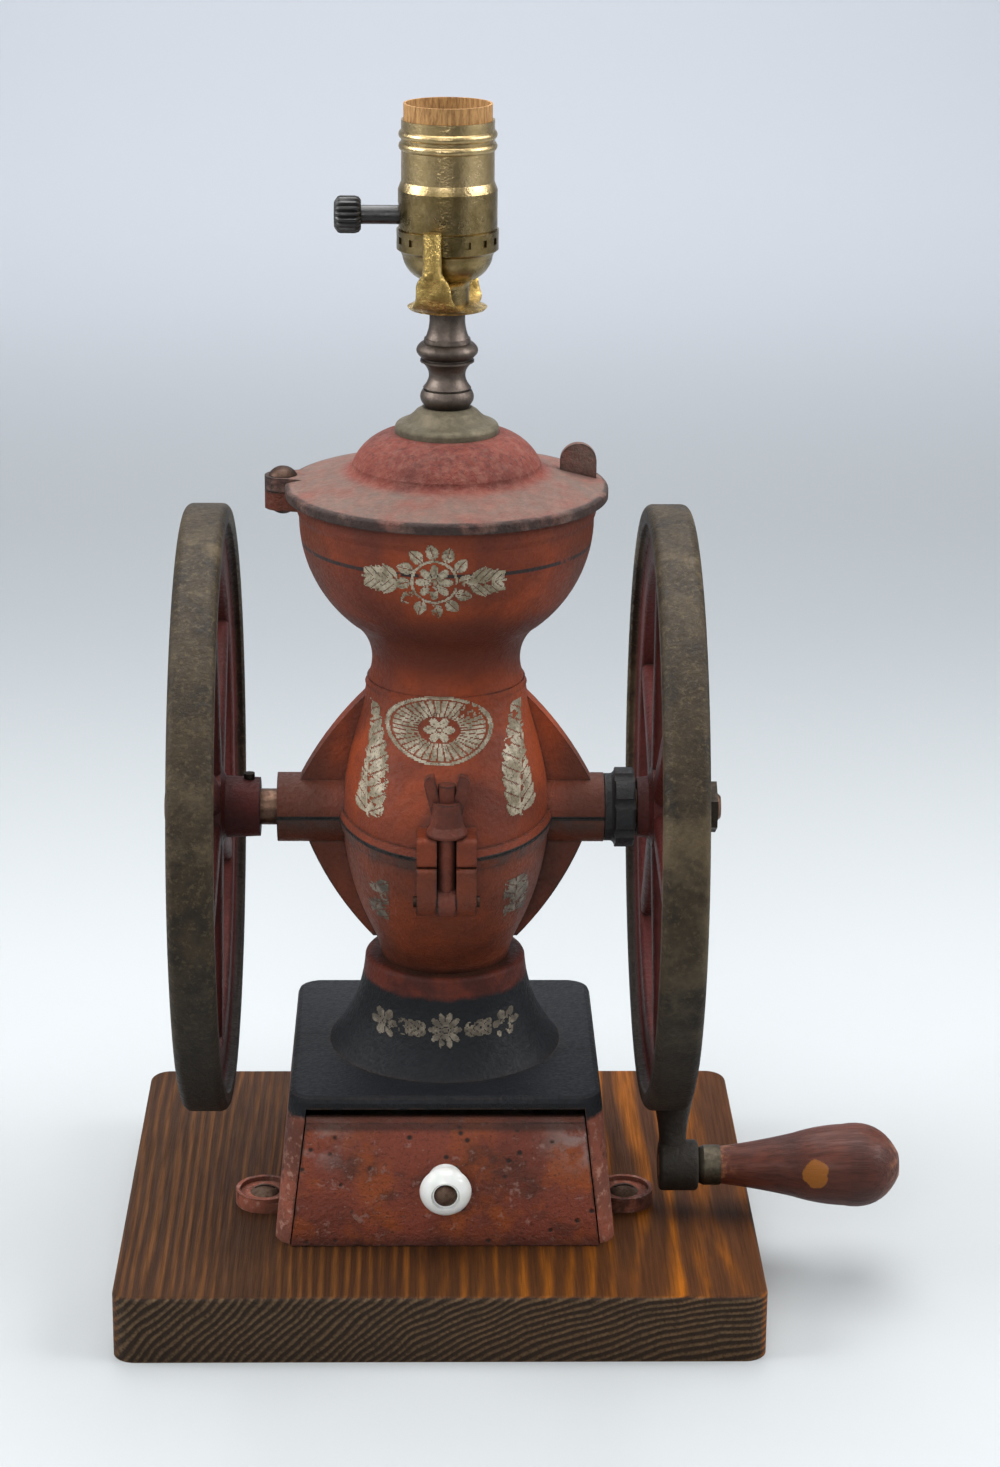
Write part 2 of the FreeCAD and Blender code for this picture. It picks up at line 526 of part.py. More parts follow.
# Bearing bushes; the right one carries the adjusting nut
node(turned("bush_left_body", [
    (-d.boss_left, d.shaft_radius + d.fit_gap), (-d.trough_start - 1, d.shaft_radius + d.fit_gap),
    (-d.trough_start - 1, d.bush_radius), (-d.boss_left, d.bush_radius)], "H_Axis"), "bearing_bush_left")
node(turned("bush_right_body", [
    (d.burr_room_end + 1, d.shaft_radius + d.fit_gap), (d.sleeve_end, d.shaft_radius + d.fit_gap),
    (d.sleeve_end, d.bush_radius), (d.burr_room_end + 1, d.bush_radius)], "H_Axis"), "adjusting_sleeve")
for bush in nodes[-2:]:
    place(bush, 0, 0, split)

# Fixed grinding ring, pins of the clamp and of the rear hinge
burr_half = d.burr_thick * 0.5
node(turned("ring_body", [
    (-burr_half, d.eye_radius), (burr_half - 1.5, d.eye_radius), (burr_half, d.eye_radius + 5),
    (burr_half, d.burr_radius), (-burr_half, d.burr_radius)], "H_Axis"), "fixed_burr")
place(nodes[-1], 0, 0, split)
node(rod("swing_pin", d.pin_radius, -d.lug_half - 1.2, d.lug_half + 1.2, d.bolt_y, at.bolt_pivot), "swing_bolt_pin")
node(rod("rear_pin", d.pin_radius, -12.2, 12.2, d.knuckle_y, split), "rear_hinge_pin")

# Rivet that the lid swivels on
lid_low = at.rim_top + d.slide_gap
lid_ear_top = lid_low + d.lid_ear_thick
node(turned("rivet_body", [
    (0, at.rim_top - d.hinge_thick - 2.4), (d.rivet_radius + 2, at.rim_top - d.hinge_thick, dome(d.rivet_radius + 2, 2.4), "left"),
    (d.rivet_radius, at.rim_top - d.hinge_thick), (d.rivet_radius, lid_ear_top + 0.2),
    (d.rivet_radius + 2.6, lid_ear_top + 0.2), (0, lid_ear_top + 3.2, dome(d.rivet_radius + 2.6, 3), "left")]), "lid_rivet")
place(nodes[-1], d.hinge_x, d.hinge_y, 0)

# Swing bolt with its eye
bolt_eye = rod("bolt_eye_rod", d.bolt_eye, -d.lug_slot + d.slide_gap, d.lug_slot - d.slide_gap, d.bolt_y, at.bolt_pivot)
bolt_shank = post("bolt_shank", d.bolt_radius, at.bolt_pivot + 2, at.bolt_top, 0, d.bolt_y)
node(cut("bolt_cut", joined("bolt_solid", [bolt_eye, bolt_shank]),
         [rod("bolt_eye_hole", d.pin_radius + d.fit_gap, -9, 9, d.bolt_y, at.bolt_pivot)]), "swing_bolt")

# Wing nut
nut_low = at.lug_high + 0.35
nut_high = nut_low + d.nut_tall
nut_barrel = turned("nut_barrel", [
    (0, nut_low), (d.nut_radius - 0.8, nut_low), (d.nut_radius, nut_low + 1.2, 1.4, "left"),
    (d.nut_radius - 1.4, nut_low + 4), (d.nut_radius - 2, nut_high), (0, nut_high)])
wings = padded("nut_wings", "XZ_Plane", [
    (-4.6, nut_low + 5), (4.6, nut_low + 5), (d.wing_half, nut_high + d.wing_tall - 3),
    (d.wing_half - 3.6, nut_high + d.wing_tall, 3.0, "left"), (2.6, nut_high + 1), (-2.6, nut_high + 1),
    (-d.wing_half + 3.6, nut_high + d.wing_tall), (-d.wing_half, nut_high + d.wing_tall - 3, 3.0, "left")],
    d.wing_thick, -d.wing_thick * 0.5)
wing_solid = joined("wing_nut_solid", [nut_barrel, wings])
wing_nut = cut("wing_nut_cut", wing_solid, [post("wing_nut_bore", d.bolt_radius + d.fit_gap, nut_low - 1, nut_high + 20)])
place(wing_nut, 0, d.bolt_y, 0)
node(wing_nut, "wing_nut")

# Drawer: sheet tray, front with a bent lip, porcelain knob, screw and nut
bay_slope = (d.bay_half_low - d.bay_half_high) / (at.bay_top - d.board_thick + 1)
tray_low = d.board_thick + d.slide_gap
tray_front = d.drawer_front_y + d.drawer_front_thick


def bay_half(z, inset):
    return d.bay_half_low - (z - d.board_thick + 1) * bay_slope - inset


def tray_section(low, high, inset):
    return [(-bay_half(low, inset), low), (bay_half(low, inset), low),
            (bay_half(high, inset), high), (-bay_half(high, inset), high)]


tray_solid = padded("tray_solid", "XZ_Plane", tray_section(tray_low, at.drawer_wall_top, 0.5),
                    d.drawer_length, -tray_front - d.drawer_length)
tray_room = padded("tray_room", "XZ_Plane",
                   tray_section(tray_low + d.drawer_thick, at.drawer_wall_top + 5, 0.5 + d.drawer_thick),
                   d.drawer_length - d.drawer_thick * 2, -tray_front - d.drawer_length + d.drawer_thick)
knob_bore_start = d.drawer_front_y - d.knob_reach
cross = Rotation(Vector(1, 0, 0), 90)
tray_hole = doc.addObject("Part::Cylinder", "tray_hole")
bind(tray_hole, Radius=d.knob_screw_radius, Height=40)
place(tray_hole, 0, tray_front + 20, at.knob_height, cross)
node(cut("tray_cut", tray_solid, [tray_room, tray_hole]), "drawer_tray")
front_plate = padded("front_plate", "XZ_Plane",
                     tray_section(tray_low, at.drawer_front_top, 0.5), d.drawer_front_thick, -tray_front)
front_lip = padded("front_lip", "XZ_Plane",
                   tray_section(at.drawer_front_top - 1.6, at.drawer_front_top, 0.5),
                   d.drawer_front_thick + d.drawer_lip, -tray_front - d.drawer_lip)
front_hole = doc.addObject("Part::Cylinder", "front_hole")
bind(front_hole, Radius=d.knob_screw_radius, Height=40)
place(front_hole, 0, tray_front + 20, at.knob_height, cross)
node(cut("front_cut", joined("front_solid", [front_plate, front_lip]), [front_hole]), "drawer_front")

# Pieces on the knob axis are turned about Z and then laid along -Y
knob_frame = Rotation(Vector(1, 0, 0), 90)
knob = turned("knob_body", [
    (d.knob_screw_radius, 0), (6.4, 0), (5.0, 4.0, 5.0, "right"), (d.knob_radius, 9.5, 6.4, "right"),
    (d.knob_head_radius + 1.0, d.knob_reach, 7.0, "left"), (d.knob_head_radius + 0.4, d.knob_reach - 1.2),
    (d.knob_screw_radius, d.knob_reach - 1.2)])
place(knob, 0, d.drawer_front_y, at.knob_height, knob_frame)
node(knob, "drawer_knob")
screw = turned("knob_screw_body", [
    (0, -d.drawer_front_thick - d.drawer_thick - 5), (d.knob_screw_radius, -d.drawer_front_thick - d.drawer_thick - 5),
    (d.knob_screw_radius, d.knob_reach - 1.2), (d.knob_head_radius, d.knob_reach - 1.2),
    (0, d.knob_reach + 1.4, dome(d.knob_head_radius, 2.6), "left")])
place(screw, 0, d.drawer_front_y, at.knob_height, knob_frame)
node(screw, "knob_screw")
nut = doc.addObject("Part::Prism", "knob_nut_prism")
nut.Polygon = 6
bind(nut, Circumradius=4.2, Height=3.0)
knob_nut = cut("knob_nut_cut", nut, [post("knob_nut_bore", d.knob_screw_radius, -1, 4)])
place(knob_nut, 0, tray_front + d.drawer_thick + 3, at.knob_height, knob_frame)
node(knob_nut, "knob_nut")

# Lid with dome, hinge ear and lift tab
lid_shell = turned("lid_shell", [
    (d.lid_radius, lid_low), (d.lid_radius, lid_low + d.lid_edge), (d.lid_radius - 1.2, lid_low + d.lid_edge + 1.1, 1.3, "left"),
    (d.lid_foot, at.lid_foot_top), (d.dome_radius, at.lid_foot_top + 3, 3.2, "right"),
    (d.dome_flat, at.dome_top, 19.0, "left"), (d.pipe_radius + 0.2, at.dome_top),
    (d.pipe_radius + 0.2, at.dome_top - d.lid_wall), (d.dome_flat - 1, at.dome_top - d.lid_wall),
    (d.dome_radius - d.lid_wall - 0.4, at.lid_foot_top + 2.4, 16.0, "right"), (d.lid_foot - 3.6, at.lid_foot_top - d.lid_wall),
    (d.lid_radius - 11, lid_low + 2), (d.lid_radius - 12, lid_low)])
lid_ear = padded("lid_ear", "XY_Plane", [
    (d.hinge_x + 12, d.hinge_y + d.hinge_round + 2), (d.hinge_x, d.hinge_y + d.hinge_round),
    (d.hinge_x, d.hinge_y - d.hinge_round, d.hinge_round, "left"),
    (d.hinge_x + 10, d.hinge_y - d.hinge_round - 2)], d.lid_ear_thick, lid_low)
tab = padded("lid_tab", "XZ_Plane", [
    (d.tab_x - d.tab_half, lid_low + 5.2), (d.tab_x + d.tab_half, lid_low + 2.6), (d.tab_x + d.tab_half, at.tab_top - 6),
    (d.tab_x - d.tab_half, at.tab_top - 6, d.tab_half, "left")],
    d.tab_thick, -d.tab_y - d.tab_thick * 0.5)
node(cut("lid_cut", joined("lid_solid", [lid_shell, lid_ear, tab]),
         [post("rivet_hole_high", d.rivet_radius + d.fit_gap, lid_low - 1, lid_ear_top + 1, d.hinge_x, d.hinge_y)]), "lid")

# Lamp stem: vase cap, threaded pipe with washer and nut, turned spindle
node(turned("vase_cap_body", [
    (d.pipe_radius, at.dome_top), (d.cap_radius, at.dome_top), (d.cap_radius, at.dome_top + 1.6),
    (d.cap_radius - 1.6, at.dome_top + 3.6, 2.2, "left"), (d.cap_radius - 7.4, at.cap_top - 1.4, 12.0, "right"),
    (d.cap_radius - 9.6, at.cap_top), (d.pipe_radius, at.cap_top)]), "vase_cap")
pipe_low = at.dome_top - d.lid_wall - 9
node(turned("pipe_body", [
    (d.pipe_bore, pipe_low), (d.pipe_radius, pipe_low), (d.pipe_radius, at.spindle_top + 9),
    (d.pipe_bore, at.spindle_top + 9)]), "lamp_pipe")
node(turned("washer_body", [
    (d.pipe_radius, at.dome_top - d.lid_wall - 1.6), (11.0, at.dome_top - d.lid_wall - 1.6),
    (11.0, at.dome_top - d.lid_wall), (d.pipe_radius, at.dome_top - d.lid_wall)]), "pipe_washer")
hexagon = doc.addObject("Part::Prism", "pipe_nut_prism")
hexagon.Polygon = 6
bind(hexagon, Circumradius=9.0, Height=5.0)
pipe_nut = cut("pipe_nut_cut", hexagon, [post("pipe_nut_bore", d.pipe_radius, -1, 6)])
place(pipe_nut, 0, 0, at.dome_top - d.lid_wall - 6.6)
node(pipe_nut, "pipe_nut")
waist = d.spindle_waist
node(turned("spindle_body", [
    (d.pipe_radius, at.cap_top), (waist, at.cap_top), (waist, at.cap_top + 5.6, 3.3, "left"),
    (waist + 1.2, at.cap_top + 16.5, 7.4, "right"), (waist + 1.5, at.cap_top + 21.7, 2.9, "left"),
    (waist - 0.6, at.spindle_top, 10.6, "right"), (d.pipe_radius, at.spindle_top)]), "lamp_spindle")

# Harp saddle: a bent strip with two sleeves, turned a little from the front
arm = d.saddle_arm
thick = d.saddle_thick
low = at.spindle_top
strip = padded("saddle_strip", "XZ_Plane", [
    (9, low), (arm - 2.4, low + 4.4, 12.0, "left"), (arm + 0.8, low + 13, 14.0, "left"),
    (arm + 0.8, at.saddle_top), (arm - 0.8, at.saddle_top), (arm - 0.8, low + 13.3),
    (arm - 3.6, low + 5.6, 12.4, "right"), (9, low + thick, 10.4, "right"), (-9, low + thick),
    (-arm + 3.6, low + 5.6, 10.4, "right"), (-arm + 0.8, low + 13.3, 12.4, "right"), (-arm + 0.8, at.saddle_top),
    (-arm - 0.8, at.saddle_top), (-arm - 0.8, low + 13), (-arm + 2.4, low + 4.4, 14.0, "left"),
    (-9, low, 12.0, "left")], d.saddle_width, -d.saddle_width * 0.5)
sleeves = [post("saddle_sleeve_front", 3.2, at.saddle_top - 12, at.saddle_top, -arm - 1.6, 0),
           post("saddle_sleeve_back", 3.2, at.saddle_top - 12, at.saddle_top, arm + 1.6, 0)]
saddle_plate = post("saddle_plate", d.saddle_radius, low, low + thick)
saddle = cut("saddle_cut", joined("saddle_solid", [strip, saddle_plate] + sleeves),
             [post("saddle_hole", d.pipe_radius, low - 1, low + 3),
              post("sleeve_bore_front", 1.7, at.saddle_top - 13, at.saddle_top + 1, -arm - 2.4, 0),
              post("sleeve_bore_back", 1.7, at.saddle_top - 13, at.saddle_top + 1, arm + 2.4, 0)])
place(saddle, 0, 0, 0, Rotation(Vector(0, 0, 1), d.saddle_turn.value))
turn_by(saddle, d.saddle_turn)
node(saddle, "harp_saddle")

# Lamp socket: cap, shell, card liner, switch body, screw shell, centre contact
seat = low + thick
sheet_metal = d.socket_sheet
cap_body = turned("socket_cap_body", [
    (d.pipe_radius, seat), (7.6, seat), (7.6, seat + 6.4), (10.2, seat + 9.6, 3.4, "right"),
    (d.socket_band - 2, seat + 17.4, 10.5, "left"), (d.socket_band - 1.4, seat + 18.8), (d.socket_band, seat + 19.8),
    (d.socket_band, seat + 26.6), (d.socket_band - sheet_metal, seat + 26.6), (d.socket_band - sheet_metal, seat + 20.6),
    (d.socket_band - 2.4, seat + 19.2), (d.socket_band - 3, seat + 17.6),
    (9.8, seat + 10.6, 9.6, "right"), (6.8, seat + 8.2), (d.pipe_radius, seat + 8.2)])
band_slots = []
for number in range(int(d.band_slots.value)):
    opening = block(f"band_slot_{number}", 0, 4, -d.band_slot_half, d.band_slot_half, 0, d.band_slot_half * 2)
    angle = math.radians(360 * number / d.band_slots.value)
    reach = d.socket_band - d.socket_sheet - 0.3
    place(opening, reach * math.cos(angle) + d.band_slot_half * math.sin(angle),
          reach * math.sin(angle) - d.band_slot_half * math.cos(angle), seat + 22.2,
          Rotation(Vector(0, 0, 1), math.degrees(angle)))
    band_slots.append(opening)
node(cut("socket_cap_cut", cap_body, band_slots), "socket_cap")
shell_low = seat + 21
shell_in = d.socket_shell - sheet_metal
upper_in = d.socket_upper - sheet_metal
step = seat + 40.4
shell_body = turned("shell_body", [
    (d.socket_shell - 1.2, shell_low), (d.socket_shell - 0.25, shell_low), (d.socket_shell - 0.25, seat + 26.8),
    (d.socket_shell, seat + 27.4), (d.socket_shell, step), (d.socket_upper, step + 3),
    (d.socket_upper, at.socket_top - 10.5), (d.socket_upper, at.socket_top - 7.5, 1.7, "left"),
    (d.socket_upper, at.socket_top - 6.5), (d.socket_upper, at.socket_top - 3.5, 1.7, "left"),
    (d.socket_upper, at.socket_top), (upper_in, at.socket_top), (upper_in, step + 3.3), (shell_in, step + 0.2),
    (shell_in, seat + 28), (d.socket_shell - 1.2, seat + 27)])
node(cut("shell_cut", shell_body,
         [rod("switch_hole", d.switch_stem + 1.4, -24, -9, 0, at.switch_height)]), "socket_shell")
node(turned("liner_body", [
    (upper_in - 0.9, step + 3.6), (upper_in - 0.1, step + 3.6), (upper_in - 0.1, at.liner_top),
    (upper_in - 0.9, at.liner_top)]), "socket_liner")
block_top = at.switch_height + 8
switch_block = turned("switch_block_body", [
    (0, seat + 8.2), (6.6, seat + 8.2), (6.6, seat + 11), (9, seat + 13.4), (14.2, seat + 21), (14.2, block_top),
    (0, block_top)])
node(cut("switch_block_cut", switch_block,
         [rod("switch_bore", d.switch_stem + d.fit_gap, -20, -2, 0, at.switch_height),
          post("contact_seat", d.contact_radius, block_top - d.contact_thick, block_top + 1)]), "switch_block")
bore = d.screw_shell_bore
node(turned("screw_shell_body", [
    (bore, block_top), (bore + 0.7, block_top), (bore + 0.7, at.socket_top - 4), (bore, at.socket_top - 4)]), "screw_shell")
node(post("contact_disc", d.contact_radius, block_top - d.contact_thick, block_top), "centre_contact")

# Turn key of the lamp switch with a ribbed head
key_stem = turned("key_stem", [
    (-d.switch_end, 0), (-3, 0), (-3, d.switch_stem), (-d.switch_shoulder, d.switch_stem),
    (-d.switch_shoulder, d.switch_knob - 0.8), (-d.switch_shoulder - 1, d.switch_knob),
    (-d.switch_end + 1.6, d.switch_knob), (-d.switch_end, d.switch_knob - 1.6, 1.6, "left")], "H_Axis")
ribs = []
for number in range(12):
    angle = math.radians(30 * number)
    groove = rod(f"key_groove_{number}", 0.8, -d.switch_end - 1, -d.switch_shoulder - 1.4,
                 d.switch_knob * math.cos(angle), d.switch_knob * math.sin(angle))
    ribs.append(groove)
key = cut("key_cut", key_stem, ribs)
place(key, 0, 0, at.switch_height)
node(key, "switch_key")

# Main shaft with the stud for the wheel nut
node(turned("shaft_body", [
    (d.hub_left_out - 2.6, 0), (d.shaft_end, 0), (d.shaft_end, d.stud_radius - 1), (d.shaft_end - 1, d.stud_radius),
    (d.hub_right_out - 1, d.stud_radius), (d.hub_right_out - 1, d.shaft_radius),
    (d.hub_left_out - 1.4, d.shaft_radius), (d.hub_left_out - 2.6, d.shaft_radius - 1.2)], "H_Axis"), "main_shaft")
place(nodes[-1], 0, 0, split)


def wheel(side, centre, hub_in, hub_out):
    """Cast wheel about the X axis at height 0: hub, tapered spokes and a flanged rim."""
    ends = (hub_out, hub_in) if hub_out.value < hub_in.value else (hub_in, hub_out)
    mid = centre
    hub_body = doc.addObject("PartDesign::Body", "wheel_star_" + side)
    section = new_sketch(hub_body, "XZ_Plane", "hub_section_" + side)
    outline(section, [
        (ends[0], 0), (ends[1], 0), (ends[1], d.hub_radius), (mid + 6.5, d.hub_radius + 0.6),
        (mid + 5, d.hub_boss, 5.0, "right"), (mid - 5, d.hub_boss), (mid - 6.5, d.hub_radius + 0.6, 5.0, "right"),
        (ends[0], d.hub_radius)])
    turn = hub_body.newObject("PartDesign::Revolution", "hub_turn_" + side)
    turn.Profile = section
    turn.ReferenceAxis = (section, ["H_Axis"])
    turn.Angle = 360
    root = new_sketch(hub_body, "XY_Plane", "spoke_root_" + side, d.hub_radius - 2)
    outline(root, rounded_box(d.spoke_thick_root, d.spoke_root, 3.4, mid, 0))
    tip = new_sketch(hub_body, "XY_Plane", "spoke_tip_" + side, d.wheel_web + 3)
    outline(tip, rounded_box(d.spoke_thick_tip, d.spoke_tip, 2.2, mid, 0))
    spoke = hub_body.newObject("PartDesign::AdditiveLoft", "spoke_" + side)
    spoke.Profile = root
    spoke.Sections = [tip]
    spoke.Ruled = True
    star = hub_body.newObject("PartDesign::PolarPattern", "spokes_" + side)
    star.Originals = [spoke]
    star.Axis = (section, ["H_Axis"])
    star.Angle = 360
    star.Occurrences = int(d.spoke_count.value)
    star.setExpression("Occurrences", d.spoke_count.text)
    hub_body.Tip = star
    half = d.wheel_width * 0.5
    web = d.wheel_web_width * 0.5
    edge = d.wheel_edge
    inner = d.wheel_radius - d.wheel_band
    rim = turned("wheel_rim_" + side, [
        (mid - web, d.wheel_web + 1.5), (mid - web + 1.5, d.wheel_web, 1.5, "left"), (mid + web - 1.5, d.wheel_web),
        (mid + web, d.wheel_web + 1.5, 1.5, "left"), (mid + web, inner - 2), (mid + web + 2, inner, 2.0, "right"),
        (mid + half - 1, inner), (mid + half, inner + 1, 1.0, "left"), (mid + half, d.wheel_radius - edge),
        (mid + half - edge, d.wheel_radius, edge, "left"), (mid - half + edge, d.wheel_radius),
        (mid - half, d.wheel_radius - edge, edge, "left"), (mid - half, inner + 1), (mid - half + 1, inner, 1.0, "left"),
        (mid - web - 2, inner), (mid - web, inner - 2, 2.0, "right")], "H_Axis")
    return hub_body, rim


# Left wheel
star, rim = wheel("left", d.wheel_left, d.hub_left_in, d.hub_left_out)
left_wheel = cut("left_wheel_cut", joined("left_wheel_solid", [star, rim]),
                 [rod("left_wheel_bore", d.shaft_radius, d.hub_left_out - 5, d.hub_left_in + 5),
                  post("left_screw_hole", 2.0, 2, d.hub_radius + 5, d.hub_left_in - 4, 0)])
place(left_wheel, 0, 0, split)
node(left_wheel, "left_wheel")
node(post("left_screw", 2.0, d.shaft_radius, d.hub_radius + 2.2, d.hub_left_in - 4, 0), "left_wheel_screw")
place(nodes[-1], d.hub_left_in - 4, 0, split + d.shaft_radius)

# Right wheel with the crank arm cast on
crank_turn = Rotation(Vector(-1, 0, 0), d.crank_angle.value)
star, rim = wheel("right", d.wheel_right, d.hub_right_in, d.hub_right_out)
overhang = d.crank_radius - d.wheel_radius
arm_middle = (d.crank_in + d.crank_out) * 0.5
crank_arm = lofted("crank_arm", [
    oval("arm_root", d.crank_half + 2, d.crank_half + 7, -d.wheel_radius + 5, arm_middle),
    oval("arm_shoulder", d.crank_half + 0.6, d.crank_half + 2.2, -d.wheel_radius - overhang * 0.12, arm_middle),
    oval("arm_neck", d.crank_half - 0.4, d.crank_half, -d.wheel_radius - overhang * 0.42, arm_middle),
    oval("arm_foot", d.crank_half - 0.2, d.crank_half + 0.4, -d.wheel_radius - overhang * 0.8, arm_middle)])
crank_end = turned("crank_boss_body", [
    (d.crank_in, 0), (d.crank_boss_out, 0), (d.crank_boss_out, d.crank_boss - 1.6),
    (d.crank_boss_out - 1.6, d.crank_boss, 1.6, "left"), (d.crank_in + 1.6, d.crank_boss),
    (d.crank_in, d.crank_boss - 1.6, 1.6, "left")], "H_Axis")
place(crank_end, 0, 0, -d.crank_radius)
right_wheel = cut("right_wheel_cut", joined("right_wheel_solid", [star, rim, crank_arm, crank_end]),
                  [rod("right_wheel_bore", d.shaft_radius, d.hub_right_in - 5, d.hub_right_out - 1),
                   rod("right_stud_bore", d.stud_radius, d.hub_right_out - 2, d.hub_right_out + 5),
                   rod("crank_pin_bore", d.crank_pin, d.crank_in - 5, d.crank_boss_out + 5, 0, -d.crank_radius)])
place(right_wheel, 0, 0, split, crank_turn)
turn_by(right_wheel, d.crank_angle)
node(right_wheel, "right_wheel")
hexagon = doc.addObject("Part::Prism", "wheel_nut_prism")
hexagon.Polygon = 6
bind(hexagon, Circumradius=d.wheel_nut_flat * 1.1547, Height=d.wheel_nut_thick)
wheel_nut = cut("wheel_nut_cut", hexagon, [post("wheel_nut_bore", d.stud_radius, -1, d.wheel_nut_thick + 1)])
place(wheel_nut, d.hub_right_out, 0, split, ALONG_X)
node(wheel_nut, "wheel_nut")

# Turning grinding plate and feed worm on the shaft
node(turned("plate_body", [
    (burr_half + d.burr_gap, d.shaft_radius), (burr_half + d.burr_gap + 10, d.shaft_radius), (burr_half + d.burr_gap + 10, 12),
    (burr_half + d.burr_gap + d.burr_thick, 13), (burr_half + d.burr_gap + d.burr_thick, d.burr_radius - 1),
    (burr_half + d.burr_gap, d.burr_radius - 1), (burr_half + d.burr_gap, d.eye_radius + 5),
    (burr_half + d.burr_gap + 1.5, d.eye_radius), (burr_half + d.burr_gap + 1.5, 11), (burr_half + d.burr_gap, 10)],
    "H_Axis"), "turning_burr")
place(nodes[-1], 0, 0, split)
worm_start = -d.trough_start + 2
worm_end = burr_half + d.burr_gap
worm_core = turned("worm_core", [
    (worm_start, d.shaft_radius), (worm_end, d.shaft_radius), (worm_end, d.worm_core - 1.5),
    (-d.trough_end, d.worm_core), (worm_start, d.worm_core)], "H_Axis")
blade = new_sketch(worm_core, "XZ_Plane", "worm_blade")
outline(blade, [
    (worm_start + 1, d.worm_core - 1), (worm_start + 4, d.worm_core - 1), (worm_start + 3.2, d.worm_radius),
    (worm_start + 1.8, d.worm_radius)])
worm = worm_core
flight = worm.newObject("PartDesign::AdditiveHelix", "worm_flight")
flight.Profile = blade
flight.ReferenceAxis = (blade, ["H_Axis"])
bind(flight, Pitch=11.0, Height=14.0)
place(worm, 0, 0, split)
node(worm, "feed_worm")

# Adjusting nut on its sleeve, with finger notches
adjuster = turned("adjuster_body", [
    (d.boss_right + d.slide_gap, d.bush_radius + d.fit_gap), (d.adjuster_end, d.bush_radius + d.fit_gap),
    (d.adjuster_end, d.adjuster_flange - 1.2), (d.adjuster_end - 1.2, d.adjuster_flange, 1.2, "left"),
    (d.adjuster_notch, d.adjuster_flange), (d.adjuster_notch - 1.5, d.adjuster_radius, 2.6, "right"),
    (d.boss_right + d.slide_gap, d.adjuster_radius)], "H_Axis")
notches = []
for number in range(8):
    angle = math.radians(45 * number + 22.5)
    notches.append(rod(f"adjuster_notch_{number}", 2.4, d.adjuster_notch - 2, d.adjuster_end + 2,
                       (d.adjuster_flange + 1) * math.cos(angle), (d.adjuster_flange + 1) * math.sin(angle)))
adjuster_nut = cut("adjuster_cut", adjuster, notches)
place(adjuster_nut, 0, 0, split)
node(adjuster_nut, "adjusting_nut")

# Crank pin, ferrule and grip on the crank's own axis
turn_text = "Sizes.crank_angle * 1 deg"
pin_y = -d.crank_radius * Size(math.sin(math.radians(d.crank_angle.value)), f"sin({turn_text})")
pin_z = split - d.crank_radius * Size(math.cos(math.radians(d.crank_angle.value)), f"cos({turn_text})")
node(turned("crank_pin_body", [
    (d.crank_in, 0), (d.grip_end - 1, 0), (d.grip_end - 1.6, d.pin_head - 1, dome(d.pin_head - 1, 0.6), "left"), (d.grip_end - 4, d.pin_head),
    (d.grip_end - 4.4, d.pin_head), (d.grip_end - 4.4, d.crank_pin), (d.crank_in, d.crank_pin)], "H_Axis"), "crank_pin")
node(turned("ferrule_body", [
    (d.crank_boss_out + d.slide_gap, d.crank_pin + d.fit_gap), (d.ferrule_end, d.crank_pin + d.fit_gap),
    (d.ferrule_end, d.ferrule_radius), (d.crank_boss_out + 2, d.ferrule_radius),
    (d.crank_boss_out + d.slide_gap, d.ferrule_radius - 0.8)], "H_Axis"), "grip_ferrule")
node(turned("grip_body", [
    (d.ferrule_end, d.crank_pin + d.fit_gap), (d.grip_end - 4.8, d.crank_pin + d.fit_gap),
    (d.grip_end - 4.8, d.pin_head + 0.4), (d.grip_end - 0.4, d.pin_head + 0.4), (d.grip_end, d.pin_head + 1.6),
    (d.grip_peak, d.grip_radius, 19.0, "left"), (d.ferrule_end + 14, d.grip_neck + 1.2, 62.0, "left"),
    (d.ferrule_end, d.grip_neck, 80.0, "right")], "H_Axis"), "crank_grip")
for turning in nodes[-3:]:
    place(turning, 0, pin_y, pin_z)

# Build, test and write each node
doc.recompute()
faults = [obj.Name for obj in doc.Objects if "Invalid" in obj.State or "Error" in obj.State]
if faults:
    raise RuntimeError("Objects with errors: " + ", ".join(faults))
os.makedirs("parts", exist_ok=True)
for obj in nodes:
    shape = obj.Shape
    if shape.isNull() or not shape.isValid() or shape.Volume <= 0:
        raise RuntimeError("Bad shape: " + obj.Label)
    if len(shape.Solids) != 1:
        raise RuntimeError(f"{obj.Label} has {len(shape.Solids)} solids")
    shape.exportStep("parts/" + obj.Label + ".step")
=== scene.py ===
import math

import bmesh
import bpy
from mathutils import Matrix, Vector, noise
from mathutils.bvhtree import BVHTree


